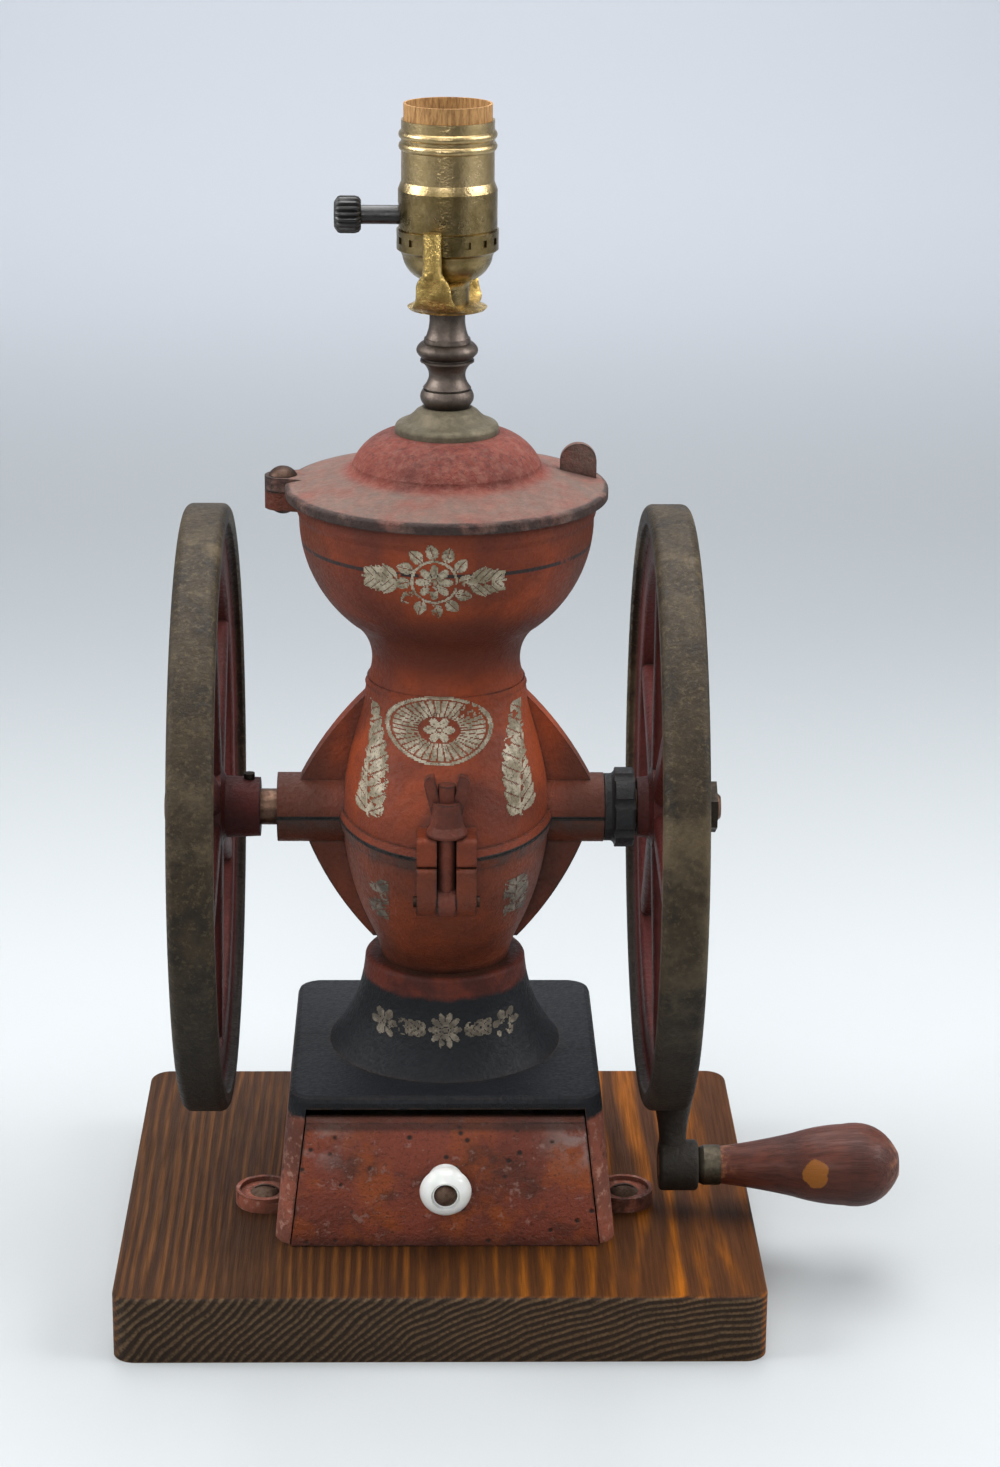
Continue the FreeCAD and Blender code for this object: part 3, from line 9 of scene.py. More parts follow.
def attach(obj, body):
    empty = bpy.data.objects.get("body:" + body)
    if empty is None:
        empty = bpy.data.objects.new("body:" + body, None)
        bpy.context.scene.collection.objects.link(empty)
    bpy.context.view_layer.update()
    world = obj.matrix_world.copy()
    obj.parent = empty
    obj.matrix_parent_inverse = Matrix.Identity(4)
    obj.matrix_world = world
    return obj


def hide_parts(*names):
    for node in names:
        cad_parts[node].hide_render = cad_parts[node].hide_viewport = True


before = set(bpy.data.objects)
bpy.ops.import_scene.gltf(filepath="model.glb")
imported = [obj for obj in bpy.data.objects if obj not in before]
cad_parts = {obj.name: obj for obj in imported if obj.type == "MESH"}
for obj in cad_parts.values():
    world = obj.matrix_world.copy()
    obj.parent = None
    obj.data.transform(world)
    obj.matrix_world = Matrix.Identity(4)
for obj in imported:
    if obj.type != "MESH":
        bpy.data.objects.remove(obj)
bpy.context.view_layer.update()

bl_info = {
    "name": "Counter coffee mill lamp",
    "version": (1, 0, 0),
    "blender": (4, 5, 0),
    "location": "View3D > Sidebar > Mill",
    "description": "Dresses a two-wheel coffee mill with worn paint, bronze, wood and lamp fittings",
    "category": "Object",
}

MM = 0.001
# Steps round a turned piece, round an arm of the saddle and along a curve
TURN_STEPS = 64
ARM_STEPS = 24
CURVE_STEPS = 10
# Height of the leaf over the paint, and the depth in front of which it is laid, clear of the webs
SURFACE_LIFT = 0.12 * MM
WEB_FRONT = -6 * MM
# Grain of the casting's sand, drawn coarser than the real 0.3 mm so that it shows, and width of a paint chip and edge
SAND = 1.6 * MM
CHIP = 7.5 * MM
RUBBED = 1.6 * MM


def box(name):
    """Lowest and highest corner of a CAD node."""
    points = [vertex.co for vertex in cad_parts[name].data.vertices]
    return [Vector(pick(point[axis] for point in points) for axis in range(3)) for pick in (min, max)]


WHEEL_LOW, WHEEL_HIGH = box("left_wheel")
SHAFT_HEIGHT = (WHEEL_LOW.z + WHEEL_HIGH.z) / 2
RIM_RADIUS = (WHEEL_HIGH.z - WHEEL_LOW.z) / 2
BASE_LOW, BASE_HIGH = box("mill_base")
PLATE_HEIGHT = BASE_LOW.z + 56.6 * MM
LID_LOW, LID_HIGH = box("lid")
LID_RADIUS = (LID_HIGH.y - LID_LOW.y) / 2
GRIP_LOW, GRIP_HIGH = box("crank_grip")


def tone(hex_text):
    """Linear colour from an sRGB hex text."""
    parts = [int(hex_text[i:i + 2], 16) / 255 for i in (1, 3, 5)]
    return [c / 12.92 if c <= 0.04045 else ((c + 0.055) / 1.055) ** 2.4 for c in parts]


def shade(colour, share):
    return [part * share for part in colour]


def colour(label, hex_text, words):
    """A colour property with its name, default and description."""
    return bpy.props.FloatVectorProperty(name=label, description=words, subtype="COLOR", size=3, min=0, max=1,
                                         default=tone(hex_text))


class MillLooks(bpy.types.PropertyGroup):
    """Colours and sizes of the mill's finish."""

    red: colour("Red paint", "#963E12", "Orange-red enamel on the hopper and case")
    red_dark: colour("Dull red", "#5A2414", "Dusty red where the enamel has dulled")
    maroon: colour("Maroon paint", "#52201D", "Enamel on the spokes and wheel webs")
    black: colour("Black paint", "#16181C", "Blue-black enamel on the base")
    iron: colour("Bare iron", "#241F1B", "Iron where the paint is worn off")
    rim: colour("Rim bronze", "#382E20", "Dull bronze paint on the wheel rims")
    rim_dark: colour("Rim shadow", "#201A12", "Dark patches on the wheel rims")
    wood: colour("Board wood", "#3B2415", "Dark stained softwood")
    wood_light: colour("Board grain", "#A05A08", "Orange early wood between the dark lines")
    grip: colour("Grip wood", "#5A2A1A", "Turned handle wood")
    brass: colour("Socket brass", "#C0A97E", "Aged brass of the lamp socket")
    silver: colour("Leaf silver", "#B9AE98", "Worn silver leaf of the ornament")
    stripe_height: bpy.props.FloatProperty(name="Stripe height", description="Height of the line round the bowl",
                                           default=275.4 * MM, unit="LENGTH")
    leaf_cell: bpy.props.FloatProperty(name="Leaf grain", description="Size of the ornament's smallest flake",
                                       default=0.4 * MM, unit="LENGTH")


def looks():
    return bpy.context.scene.mill_looks


def add(tree, kind, inputs=None, output=0, **settings):
    """Adds a node with its settings and links, and gives back one of its outputs."""
    node = tree.nodes.new("ShaderNode" + kind)
    for name, value in settings.items():
        setattr(node, name, value)
    for socket, value in (inputs or {}).items():
        target = node.inputs[socket]
        if isinstance(value, bpy.types.NodeSocket):
            tree.links.new(value, target)
        elif target.type == "RGBA":
            target.default_value = (*value, 1)
        else:
            target.default_value = value
    return node.outputs[output] if node.outputs else None


def blank(name):
    """New material with an empty node tree, and the place of each point on the piece in metres."""
    material = bpy.data.materials.new(name)
    material.use_nodes = True
    tree = material.node_tree
    tree.nodes.clear()
    return material, tree, add(tree, "TexCoord", output="Object")


def finish(tree, height, depth, inputs):
    """Closes a material: relief of the given depth and the values of its surface."""
    relief = add(tree, "Bump", {"Height": height, "Distance": depth, "Strength": 0.8})
    surface = add(tree, "BsdfPrincipled", {**inputs, "Normal": relief})
    add(tree, "OutputMaterial", {"Surface": surface})


def patches(tree, place, size, edges, levels=(0, 1), detail=5, rough=0.62, warp=0.0):
    """Irregular patches of about the given size, which fade in between two levels of the noise."""
    cloud = add(tree, "TexNoise", {"Vector": place, "Scale": 1 / size, "Detail": detail, "Roughness": rough,
                                   "Distortion": warp})
    return add(tree, "MapRange", {"Value": cloud, "From Min": edges[0], "From Max": edges[1], "To Min": levels[0],
                                  "To Max": levels[1]}, interpolation_type="SMOOTHSTEP")


def coats(tree, first, layers):
    """Colour laid in coats, each over the last where its mask is 1."""
    skin = first
    for mask, top in layers:
        skin = add(tree, "Mix", {0: mask, 6: skin, 7: top}, 2, data_type="RGBA")
    return skin


def every(tree, *masks):
    """Where all the masks hold."""
    held = masks[0]
    for mask in masks[1:]:
        held = add(tree, "Math", {0: held, 1: mask}, operation="MULTIPLY")
    return held


def either(tree, *masks):
    """Where at least one of the masks holds."""
    held = masks[0]
    for mask in masks[1:]:
        held = add(tree, "Math", {0: held, 1: mask}, operation="MAXIMUM")
    return held


def along(tree, place, letter, start, end):
    """Rises from 0 to 1 between two places along an axis of the shared frame."""
    spot = add(tree, "SeparateXYZ", {0: place}, letter)
    return add(tree, "MapRange", {"Value": spot, "From Min": start, "From Max": end}, interpolation_type="SMOOTHSTEP")


def round_axis(tree, place, scale, centre, start, end):
    """Rises from 0 to 1 between two distances from a line or point; scale 0 leaves an axis out."""
    spot = add(tree, "VectorMath", {0: place, 1: centre}, operation="SUBTRACT")
    spot = add(tree, "VectorMath", {0: spot, 1: scale}, operation="MULTIPLY")
    reach = add(tree, "VectorMath", {0: spot}, "Value", operation="LENGTH")
    return add(tree, "MapRange", {"Value": reach, "From Min": start, "From Max": end},
               interpolation_type="SMOOTHSTEP")


def worn_edges(tree, width):
    """1 along rubbed edges and corners, 0 on the flats."""
    rounded = add(tree, "Bevel", {"Radius": width}, samples=6)
    flat = add(tree, "NewGeometry", output="Normal")
    match = add(tree, "VectorMath", {0: rounded, 1: flat}, "Value", operation="DOT_PRODUCT")
    return add(tree, "MapRange", {"Value": match, "From Min": 0.985, "From Max": 0.86},
               interpolation_type="SMOOTHSTEP")


def occlusion_shade(tree, reach, strength):
    """Painted shade: a mask that rises in corners and crevices, by how enclosed they are."""
    light = add(tree, "AmbientOcclusion", {"Distance": reach}, "AO", samples=6)
    return add(tree, "MapRange", {"Value": light, "From Min": 0.85, "From Max": 0.25, "To Max": strength},
               interpolation_type="SMOOTHSTEP")


def worn_paint(name, main, dull, bare_and_shade_colour, chips=0.5, pits=0.0, roughness=(0.5, 0.75), depth=0.3 * MM, gloss=0.35,
               design=None):
    """Old brushed enamel on cast iron: mottled, dusty and chipped along its edges, over a sandy skin, with painted
    shade in the chip colour in its corners and crevices.
    """
    material, tree, place = blank(name)
    skin = coats(tree, main, [
        (patches(tree, place, 28 * MM, (0.35, 0.68), (0, 0.75), 6), dull),
        (patches(tree, place, SAND, (0.45, 0.8), (0, 0.3), 3, 0.7), dull),
        (patches(tree, place, 55 * MM, (0.48, 0.72), (0, 0.6), warp=0.6), shade(dull, 0.4))])
    if design:
        skin = design(tree, place, skin)
    flakes = patches(tree, place, CHIP, (0.42, 0.56), (0, chips + 0.3), 7, 0.68, 0.4)
    fallen = patches(tree, place, CHIP, (0.82 - 0.12 * chips, 0.85 - 0.12 * chips), (0, 1), 7, 0.68, 0.4)
    bare = either(tree, every(tree, worn_edges(tree, RUBBED), flakes), fallen)
    if pits:
        spots = add(tree, "TexVoronoi", {"Vector": place, "Scale": 1 / (6 * MM)})
        holes = add(tree, "MapRange", {"Value": spots, "From Min": 0.22, "From Max": 0.1})
        here = patches(tree, place, 12 * MM, (0.62 - pits * 0.16, 0.66 - pits * 0.16), detail=3)
        bare = either(tree, bare, every(tree, holes, here))
    # Painted shade: corners and crevices take the chip colour, as the bare places do
    skin = coats(tree, skin, [(either(tree, bare, occlusion_shade(tree, 9 * MM, 0.75)), bare_and_shade_colour)])
    sand = patches(tree, place, SAND, (0.2, 0.8), detail=3, rough=0.7)
    lumps = patches(tree, place, 6 * MM, (0.2, 0.8), detail=4)
    height = add(tree, "Math", {0: sand, 1: 0.7, 2: lumps}, operation="MULTIPLY_ADD")
    height = add(tree, "Math", {0: bare, 1: -0.7, 2: height}, operation="MULTIPLY_ADD")
    finish(tree, height, depth, {
        "Base Color": skin, "Specular IOR Level": gloss,
        "Roughness": patches(tree, place, SAND, (0.3, 0.8), roughness, 3, 0.7)})
    return material


def aged_metal(name, bright, dark, spread, roughness=(0.25, 0.55), metallic=1.0, depth=0.12 * MM, design=None):
    """Aged metal: bright where rubbed, with a dark patina in patches and specks, and painted shade darker still in
    its corners.
    """
    material, tree, place = blank(name)
    skin = coats(tree, bright, [
        (patches(tree, place, spread, (0.36, 0.66), (0, 0.8), 7, 0.66), dark),
        (patches(tree, place, 1.1 * MM, (0.56, 0.72), (0, 0.5), 3, 0.7), dark),
        # Painted shade: corners much darker than the patina
        (occlusion_shade(tree, 4 * MM, 0.7), shade(dark, 0.25))])
    if design:
        skin = design(tree, place, skin)
    speck = patches(tree, place, 1.1 * MM, (0.2, 0.8), (0, 0.6), 3, 0.7)
    lumps = patches(tree, place, 4 * MM, (0.2, 0.8), detail=4)
    height = add(tree, "Math", {0: speck, 1: lumps}, operation="ADD")
    finish(tree, height, depth, {
        "Base Color": skin, "Metallic": metallic,
        "Roughness": patches(tree, place, spread, (0.25, 0.75), roughness, 7, 0.66)})
    return material


def dress(material, *names):
    """Gives CAD nodes their material."""
    for name in names:
        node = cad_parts[name]
        node.data.materials.clear()
        node.data.materials.append(material)


def outline(points):
    """Outline of a turned piece from (along, radius, bulge) points; a curve rises by its bulge over the chord."""
    line = [Vector(points[0])]
    for along_axis, radius, *bulge in points[1:]:
        start, end = line[-1], Vector((along_axis, radius))
        if bulge:
            outward = Vector((start.y - end.y, end.x - start.x)).normalized()
            for step in range(1, CURVE_STEPS):
                share = step / CURVE_STEPS
                line.append(start.lerp(end, share) + outward * bulge[0] * 4 * share * (1 - share))
        line.append(end)
    return line


def circles(points, axis, centre):
    """Rings of a piece turned round the X or Z axis through its centre."""
    turns = [math.tau * step / TURN_STEPS for step in range(TURN_STEPS)]
    for place, radius in outline(points):
        flat = [(radius * math.cos(turn), radius * math.sin(turn)) for turn in turns]
        yield [centre + Vector((place, u, v) if axis == "X" else (u, v, place)) * MM for u, v in flat]


def eased(stations):
    """Smooth line through stations of any dimension."""
    ends = [stations[0], *stations, stations[-1]]
    for a, b, c, d in zip(ends, ends[1:], ends[2:], ends[3:]):
        for step in range(CURVE_STEPS):
            t = step / CURVE_STEPS
            yield b + ((c - a) * t + (2 * a - 5 * b + 4 * c - d) * t ** 2 + (3 * b - a - 3 * c + d) * t ** 3) / 2
    yield stations[-1]


def cover(mesh, rings):
    """Closed skin over rings of points."""
    loops = [[mesh.verts.new(point) for point in ring] for ring in rings]
    for low, high in zip(loops, loops[1:]):
        for step, point in enumerate(low):
            mesh.faces.new((low[step - 1], point, high[step], high[step - 1]))
    mesh.faces.new(loops[0][::-1])
    mesh.faces.new(loops[-1])


def piece(mesh, name, material, body, slot, *nodes):
    """Makes a piece of the mesh, which rides on a body and stands for the CAD nodes that are named."""
    bmesh.ops.recalc_face_normals(mesh, faces=mesh.faces[:])
    data = bpy.data.meshes.new(name)
    mesh.to_mesh(data)
    mesh.free()
    data.shade_smooth()
    data.set_sharp_from_angle(angle=math.radians(40))
    data.materials.append(material)
    made = bpy.data.objects.new(name, data)
    bpy.context.scene.collection.objects.link(made)
    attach(made, body)
    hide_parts(*nodes)


class MillOperator(bpy.types.Operator):
    """Common settings of the mill's operators."""

    bl_options = {"REGISTER", "UNDO"}


class MILL_OT_stage(MillOperator):
    """Floor sweep, studio lights and the camera of the photograph."""

    bl_idname = "mill.stage"
    bl_label = "Stage"

    # Camera of the photograph: its place in metres, its yaw, pitch and roll in degrees and its lens in millimetres
    camera_place = (-0.008399, -1.177677, 0.592530)
    camera_turn = (1.369, 18.364, 0.512)
    camera_lens = 83.57

    def execute(self, context):
        self.floor(context.scene)
        self.surroundings(context.scene)
        # Two side lamps, a wide lamp overhead, a fill beside the camera and one for the backdrop
        self.lamp("left", (-1.25, -0.15, 1.0), (0, 0, 0.25), 0.9, 18.0)
        self.lamp("right", (1.25, -0.15, 1.0), (0, 0, 0.25), 0.9, 17.0)
        self.lamp("top", (0.0, 0.1, 1.55), (0, 0.05, 0.2), 1.4, 24.0)
        self.lamp("front", (-0.3, -1.9, 1.0), (0, 0, 0.2), 0.9, 14.0)
        self.lamp("backdrop", (0.0, 1.7, 2.4), (0, 2.4, 0.1), 2.0, 40.0)
        self.camera(context.scene)
        return {"FINISHED"}

    def floor(self, scene):
        front, bend, back, top, half_width, steps = -0.7, 1.6, 2.8, 4.5, 4.0, 12
        reach = back - bend
        profile = [(front, 0.0), (bend, 0.0)]
        for step in range(1, steps + 1):
            angle = math.radians(90 * step / steps)
            profile.append((bend + reach * math.sin(angle), reach - reach * math.cos(angle)))
        profile.append((back, top))
        mesh = bpy.data.meshes.new("studio_floor")
        verts = [(x, y, z) for y, z in profile for x in (-half_width, half_width)]
        faces = [(2 * i, 2 * i + 1, 2 * i + 3, 2 * i + 2) for i in range(len(profile) - 1)]
        mesh.from_pydata(verts, [], faces)
        mesh.shade_smooth()
        floor = bpy.data.objects.new("studio_floor", mesh)
        scene.collection.objects.link(floor)
        # Matt paper with painted light and shade: darker from just behind the mill and lighter and bluer toward the
        # top of the sweep, with the faint tooth of its pulp, drawn coarse enough to show
        material, tree, place = blank("backdrop_paper")
        paper_and_painted_light = coats(tree, tone("#B2B6B8"), [
            (along(tree, place, "Y", 0.1, 0.9), tone("#999EA2")),
            (along(tree, place, "Y", 1.0, 2.1), tone("#C6CBD3"))])
        finish(tree, patches(tree, place, 3 * MM, (0.2, 0.8), detail=3), 0.02 * MM,
               {"Base Color": paper_and_painted_light, "Roughness": 0.95, "Specular IOR Level": 0.1})
        mesh.materials.append(material)

    def surroundings(self, scene):
        """Dim room whose pale walls beside and behind the mill show in its metal."""
        world = bpy.data.worlds.new("studio_world")
        world.use_nodes = True
        tree = world.node_tree
        tree.nodes.clear()
        way = add(tree, "TexCoord", output="Generated")
        walls = every(tree, along(tree, way, "Y", -0.95, -0.5), add(tree, "LightPath", output="Is Glossy Ray"))
        strength = add(tree, "MapRange", {"Value": walls, "To Min": 0.07, "To Max": 1.0})
        light = add(tree, "Background", {"Color": tone("#E4E8EE"), "Strength": strength})
        add(tree, "OutputWorld", {"Surface": light})
        scene.world = world

    def lamp(self, name, place, aim, size, power):
        data = bpy.data.lights.new("studio_" + name, "AREA")
        data.shape = "DISK"
        data.size = size
        data.energy = power
        lamp = bpy.data.objects.new("studio_" + name, data)
        lamp.location = place
        lamp.rotation_euler = (Vector(aim) - Vector(place)).to_track_quat("-Z", "Y").to_euler()
        bpy.context.scene.collection.objects.link(lamp)

    def camera(self, scene):
        scene.view_settings.view_transform = "Standard"
        camera = bpy.data.objects.new("photo_camera", bpy.data.cameras.new("photo_camera"))
        camera.data.sensor_width = 36.0
        camera.data.lens = self.camera_lens
        yaw, pitch, roll = (math.radians(value) for value in self.camera_turn)
        ahead = Vector((math.sin(yaw) * math.cos(pitch), math.cos(yaw) * math.cos(pitch), -math.sin(pitch)))
        right = Vector((math.cos(yaw), -math.sin(yaw), 0))
        up = right.cross(ahead)
        side = math.cos(roll) * right + math.sin(roll) * up
        top = -math.sin(roll) * right + math.cos(roll) * up
        turn = Matrix((side, top, -ahead)).transposed().to_4x4()
        camera.matrix_world = Matrix.Translation(self.camera_place) @ turn
        scene.collection.objects.link(camera)
        scene.camera = camera


class MILL_OT_board(MillOperator):
    """Stained softwood board with its growth rings."""

    bl_idname = "mill.board"
    bl_label = "Board"

    def execute(self, context):
        look = looks()
        # Sawn pine, stained and varnished: rings round a pith below the right edge, fibres front to back
        material, tree, place = blank("stained_pine")
        fibres = add(tree, "Mapping", {"Vector": place, "Scale": (1, 0.03, 1)})
        bands = add(tree, "Mapping", {"Vector": place, "Scale": (1, 0.15, 1)})
        pith, ring_width = (0.125, 0.0, -0.19), 2.7 * MM
        # Bundles of fibres, since a single one is too fine to show
        fibre_width, streak_width, wander_width = 1.1 * MM, 18 * MM, 60 * MM
        wander = add(tree, "TexNoise", {"Vector": bands, "Scale": 1 / wander_width, "Detail": 3}, "Color")
        wander = add(tree, "VectorMath", {0: wander, 1: (0.5, 0.5, 0.5)}, operation="SUBTRACT")
        spot = add(tree, "VectorMath", {0: wander, 1: (0.022, 0, 0.015), 2: place}, operation="MULTIPLY_ADD")
        spot = add(tree, "VectorMath", {0: spot, 1: pith}, operation="SUBTRACT")
        spot = add(tree, "VectorMath", {0: spot, 1: (1, 0, 1)}, operation="MULTIPLY")
        ring = add(tree, "VectorMath", {0: spot}, "Value", operation="LENGTH")
        turn = add(tree, "Math", {0: ring, 1: 1 / ring_width}, operation="MULTIPLY")
        turn = add(tree, "Math", {0: turn}, operation="FRACT")
        rise = add(tree, "MapRange", {"Value": turn, "From Min": 0.0, "From Max": 0.2})
        fall = add(tree, "MapRange", {"Value": turn, "From Min": 0.66, "From Max": 0.34})
        early = every(tree, rise, fall)
        fibre = patches(tree, fibres, fibre_width, (0.3, 0.75), detail=4, rough=0.65)
        streaks = patches(tree, bands, streak_width, (0.3, 0.6), detail=4)
        right = along(tree, place, "X", -0.07, 0.10)
        warm = coats(tree, tone("#66401F"), [(right, look.wood_light)])
        cloud = patches(tree, place, 50 * MM, (0.4, 0.7), (0, 0.7))
        skin = coats(tree, look.wood, [
            (cloud, tone("#4B3019")), (every(tree, right, 0.5), tone("#5C3008")),
            (every(tree, early, streaks), warm), (every(tree, fibre, 0.55), tone("#23150C"))])
        facing = add(tree, "SeparateXYZ", {0: add(tree, "NewGeometry", output="Normal")}, "Y")
        facing = add(tree, "Math", {0: facing}, operation="ABSOLUTE")
        end = add(tree, "MapRange", {"Value": facing, "From Min": 0.55, "From Max": 0.75})
        pores = coats(tree, tone("#2B2119"), [(early, tone("#66523C")), (every(tree, fibre, 0.7), tone("#1D1610"))])
        skin = coats(tree, skin, [
            (every(tree, end, 0.92), pores),
            (every(tree, worn_edges(tree, 1.2 * MM), 0.4), tone("#8A6A4A")),
            # Painted shade: near black in corners and crevices
            (occlusion_shade(tree, 20 * MM, 0.55), tone("#1A0F09"))])
        height = add(tree, "Math", {0: early, 1: 0.5, 2: fibre}, operation="MULTIPLY_ADD")
        finish(tree, height, 0.25 * MM, {
            "Base Color": skin, "Specular IOR Level": 0.12,
            "Roughness": patches(tree, fibres, fibre_width, (0.2, 0.9), (0.5, 0.75), 4)})
        dress(material, "base_board")
        return {"FINISHED"}


class MILL_OT_castings(MillOperator):
    """Painted hopper, case and lid, and the black and red base."""

    bl_idname = "mill.castings"
    bl_label = "Castings"

    def execute(self, context):
        look = looks()
        # Brushed enamel on cast iron: orange red, duller and darker toward the grinding case
        dress(worn_paint("hopper_enamel", look.red, look.red_dark, look.iron, 0.45, design=self.bowl_stripe),
              "hopper")
        dress(worn_paint("case_enamel", tone("#743214"), tone("#4A2011"), look.iron, 0.75,
                         design=self.case_seam), "lower_case")
        # The lid's enamel is chalky with dust
        dress(worn_paint("lid_enamel", tone("#74362A"), tone("#5A2A23"), look.iron, 0.5, roughness=(0.7, 0.9),
                         depth=0.5 * MM, design=self.lid_dust), "lid")
        dress(worn_paint("base_enamel", look.black, tone("#111316"), tone("#3B2A20"), 0.5, gloss=0.2,
                         design=self.base_colours), "mill_base")
        return {"FINISHED"}

    def bowl_stripe(self, tree, place, skin):
        """Thin dark line round the bowl, broken by wear; darker toward the foot and just below the lid; painted shade
        of the bowl, with dirt, on the neck; painted shade on the wings; and painted shade of the seam's gap as a
        black line at the foot.
        """
        height = looks().stripe_height
        above = along(tree, place, "Z", height - 0.9 * MM, height - 0.5 * MM)
        below = along(tree, place, "Z", height + 0.9 * MM, height + 0.5 * MM)
        unworn = patches(tree, place, 5 * MM, (0.34, 0.44), detail=4)
        # Darker toward the foot and just below the lid
        foot = every(tree, along(tree, place, "Z", SHAFT_HEIGHT + 40 * MM, SHAFT_HEIGHT), 0.55)
        rim = every(tree, along(tree, place, "Z", LID_LOW.z - 12 * MM, LID_LOW.z - 3 * MM), 0.45)
        beside = round_axis(tree, place, (1, 0, 0), (0, 0, 0), 10 * MM, 12 * MM)
        # Painted shade of the seam's gap, drawn as a black line clear of the lugs
        seam = along(tree, place, "Z", SHAFT_HEIGHT + 0.8 * MM, SHAFT_HEIGHT + 0.4 * MM)
        # Painted shade of the bowl, with dirt, on the neck
        neck = every(tree, along(tree, place, "Z", 222 * MM, 238 * MM), along(tree, place, "Z", 264 * MM, 250 * MM),
                     0.85)
        outside = along(tree, add(tree, "NewGeometry", output="Normal"), "Z", 0.1, 0.0)
        # Painted shade: the wings darker out toward the bosses
        wings = every(tree, round_axis(tree, place, (1, 0, 0), (0, 0, 0), 36 * MM, 48 * MM), 0.75)
        return coats(tree, skin, [(foot, tone("#5E2817")), (neck, tone("#501F10")), (wings, tone("#46200F")),
                                  (rim, tone("#4A2118")), (every(tree, seam, beside), tone("#090706")),
                                  (every(tree, above, below, outside, unworn), tone("#241B1A"))])

    def case_seam(self, tree, place, skin):
        """Painted shade of the seam's gap as a black line under the hopper, a patchy grey-brown band below it, and
        painted shade on the webs.
        """
        beside = round_axis(tree, place, (1, 0, 0), (0, 0, 0), 10 * MM, 12 * MM)
        # Patchy grey-brown band below the seam
        band_below_seam = along(tree, place, "Z", SHAFT_HEIGHT - 9 * MM, SHAFT_HEIGHT - 2 * MM)
        # Painted shade of the seam's gap, drawn as a black line clear of the lugs
        seam = along(tree, place, "Z", SHAFT_HEIGHT - 1.2 * MM, SHAFT_HEIGHT - 0.7 * MM)
        # Painted shade: the webs darker out toward the bosses
        wings = every(tree, round_axis(tree, place, (1, 0, 0), (0, 0, 0), 34 * MM, 46 * MM), 0.6)
        return coats(tree, skin, [
            (wings, tone("#46200F")),
            (every(tree, band_below_seam, beside, patches(tree, place, 8 * MM, (0.35, 0.6), (0.2, 0.8))), tone("#3A2C26")),
            (every(tree, seam, beside), tone("#090706"))])

    def lid_dust(self, tree, place, skin):
        """Grey dust on the flange, dark crackle on the dome and a bare dark edge round the rim."""
        axis, dome_foot = (1, 1, 0), 34 * MM
        flange = round_axis(tree, place, axis, (0, 0, 0), dome_foot, dome_foot + 6 * MM)
        dome = round_axis(tree, place, axis, (0, 0, 0), dome_foot, dome_foot - 4 * MM)
        edge = round_axis(tree, place, axis, (0, 0, 0), LID_RADIUS - 2.2 * MM, LID_RADIUS - 0.8 * MM)
        return coats(tree, skin, [
            (every(tree, flange, patches(tree, place, 14 * MM, (0.3, 0.62), (0.4, 0.95), 6)), tone("#62524A")),
            (every(tree, dome, patches(tree, place, 1.8 * MM, (0.5, 0.62), (0, 0.55), 3)), tone("#43231E")),
            (patches(tree, place, 4 * MM, (0.42, 0.66), (0, 0.35), 6, 0.7), tone("#8C6054")),
            (every(tree, edge, patches(tree, place, 9 * MM, (0.36, 0.56), (0.25, 0.9))), tone("#261B18"))])

    def base_colours(self, tree, place, skin):
        """Red-brown sides and ring with blue-black plate and pedestal between ragged paint lines."""
        look = looks()
        ragged = patches(tree, place, 9 * MM, (0.2, 0.8), (-1 * MM, 1 * MM), 5, 0.7)
        height = add(tree, "Math", {0: add(tree, "SeparateXYZ", {0: place}, "Z"), 1: ragged}, operation="ADD")
        worn = coats(tree, tone("#8E5140"), [
            (patches(tree, place, 20 * MM, (0.35, 0.65)), tone("#6A4034")),
            (patches(tree, place, 3 * MM, (0.52, 0.66), (0, 0.7)), tone("#A87F70")),
            (patches(tree, place, 9 * MM, (0.54, 0.66), (0, 0.8), 6), tone("#35221C"))])
        ring = coats(tree, tone("#5E2A1E"), [(patches(tree, place, 10 * MM, (0.4, 0.65)), tone("#43201A"))])
        plate = add(tree, "MapRange", {"Value": height, "From Min": PLATE_HEIGHT - 9 * MM,
                                       "From Max": PLATE_HEIGHT - 7 * MM})
        top = add(tree, "MapRange", {"Value": height, "From Min": BASE_HIGH.z - 8.5 * MM,
                                     "From Max": BASE_HIGH.z - 6.5 * MM})
        return coats(tree, worn, [(plate, skin), (top, ring)])


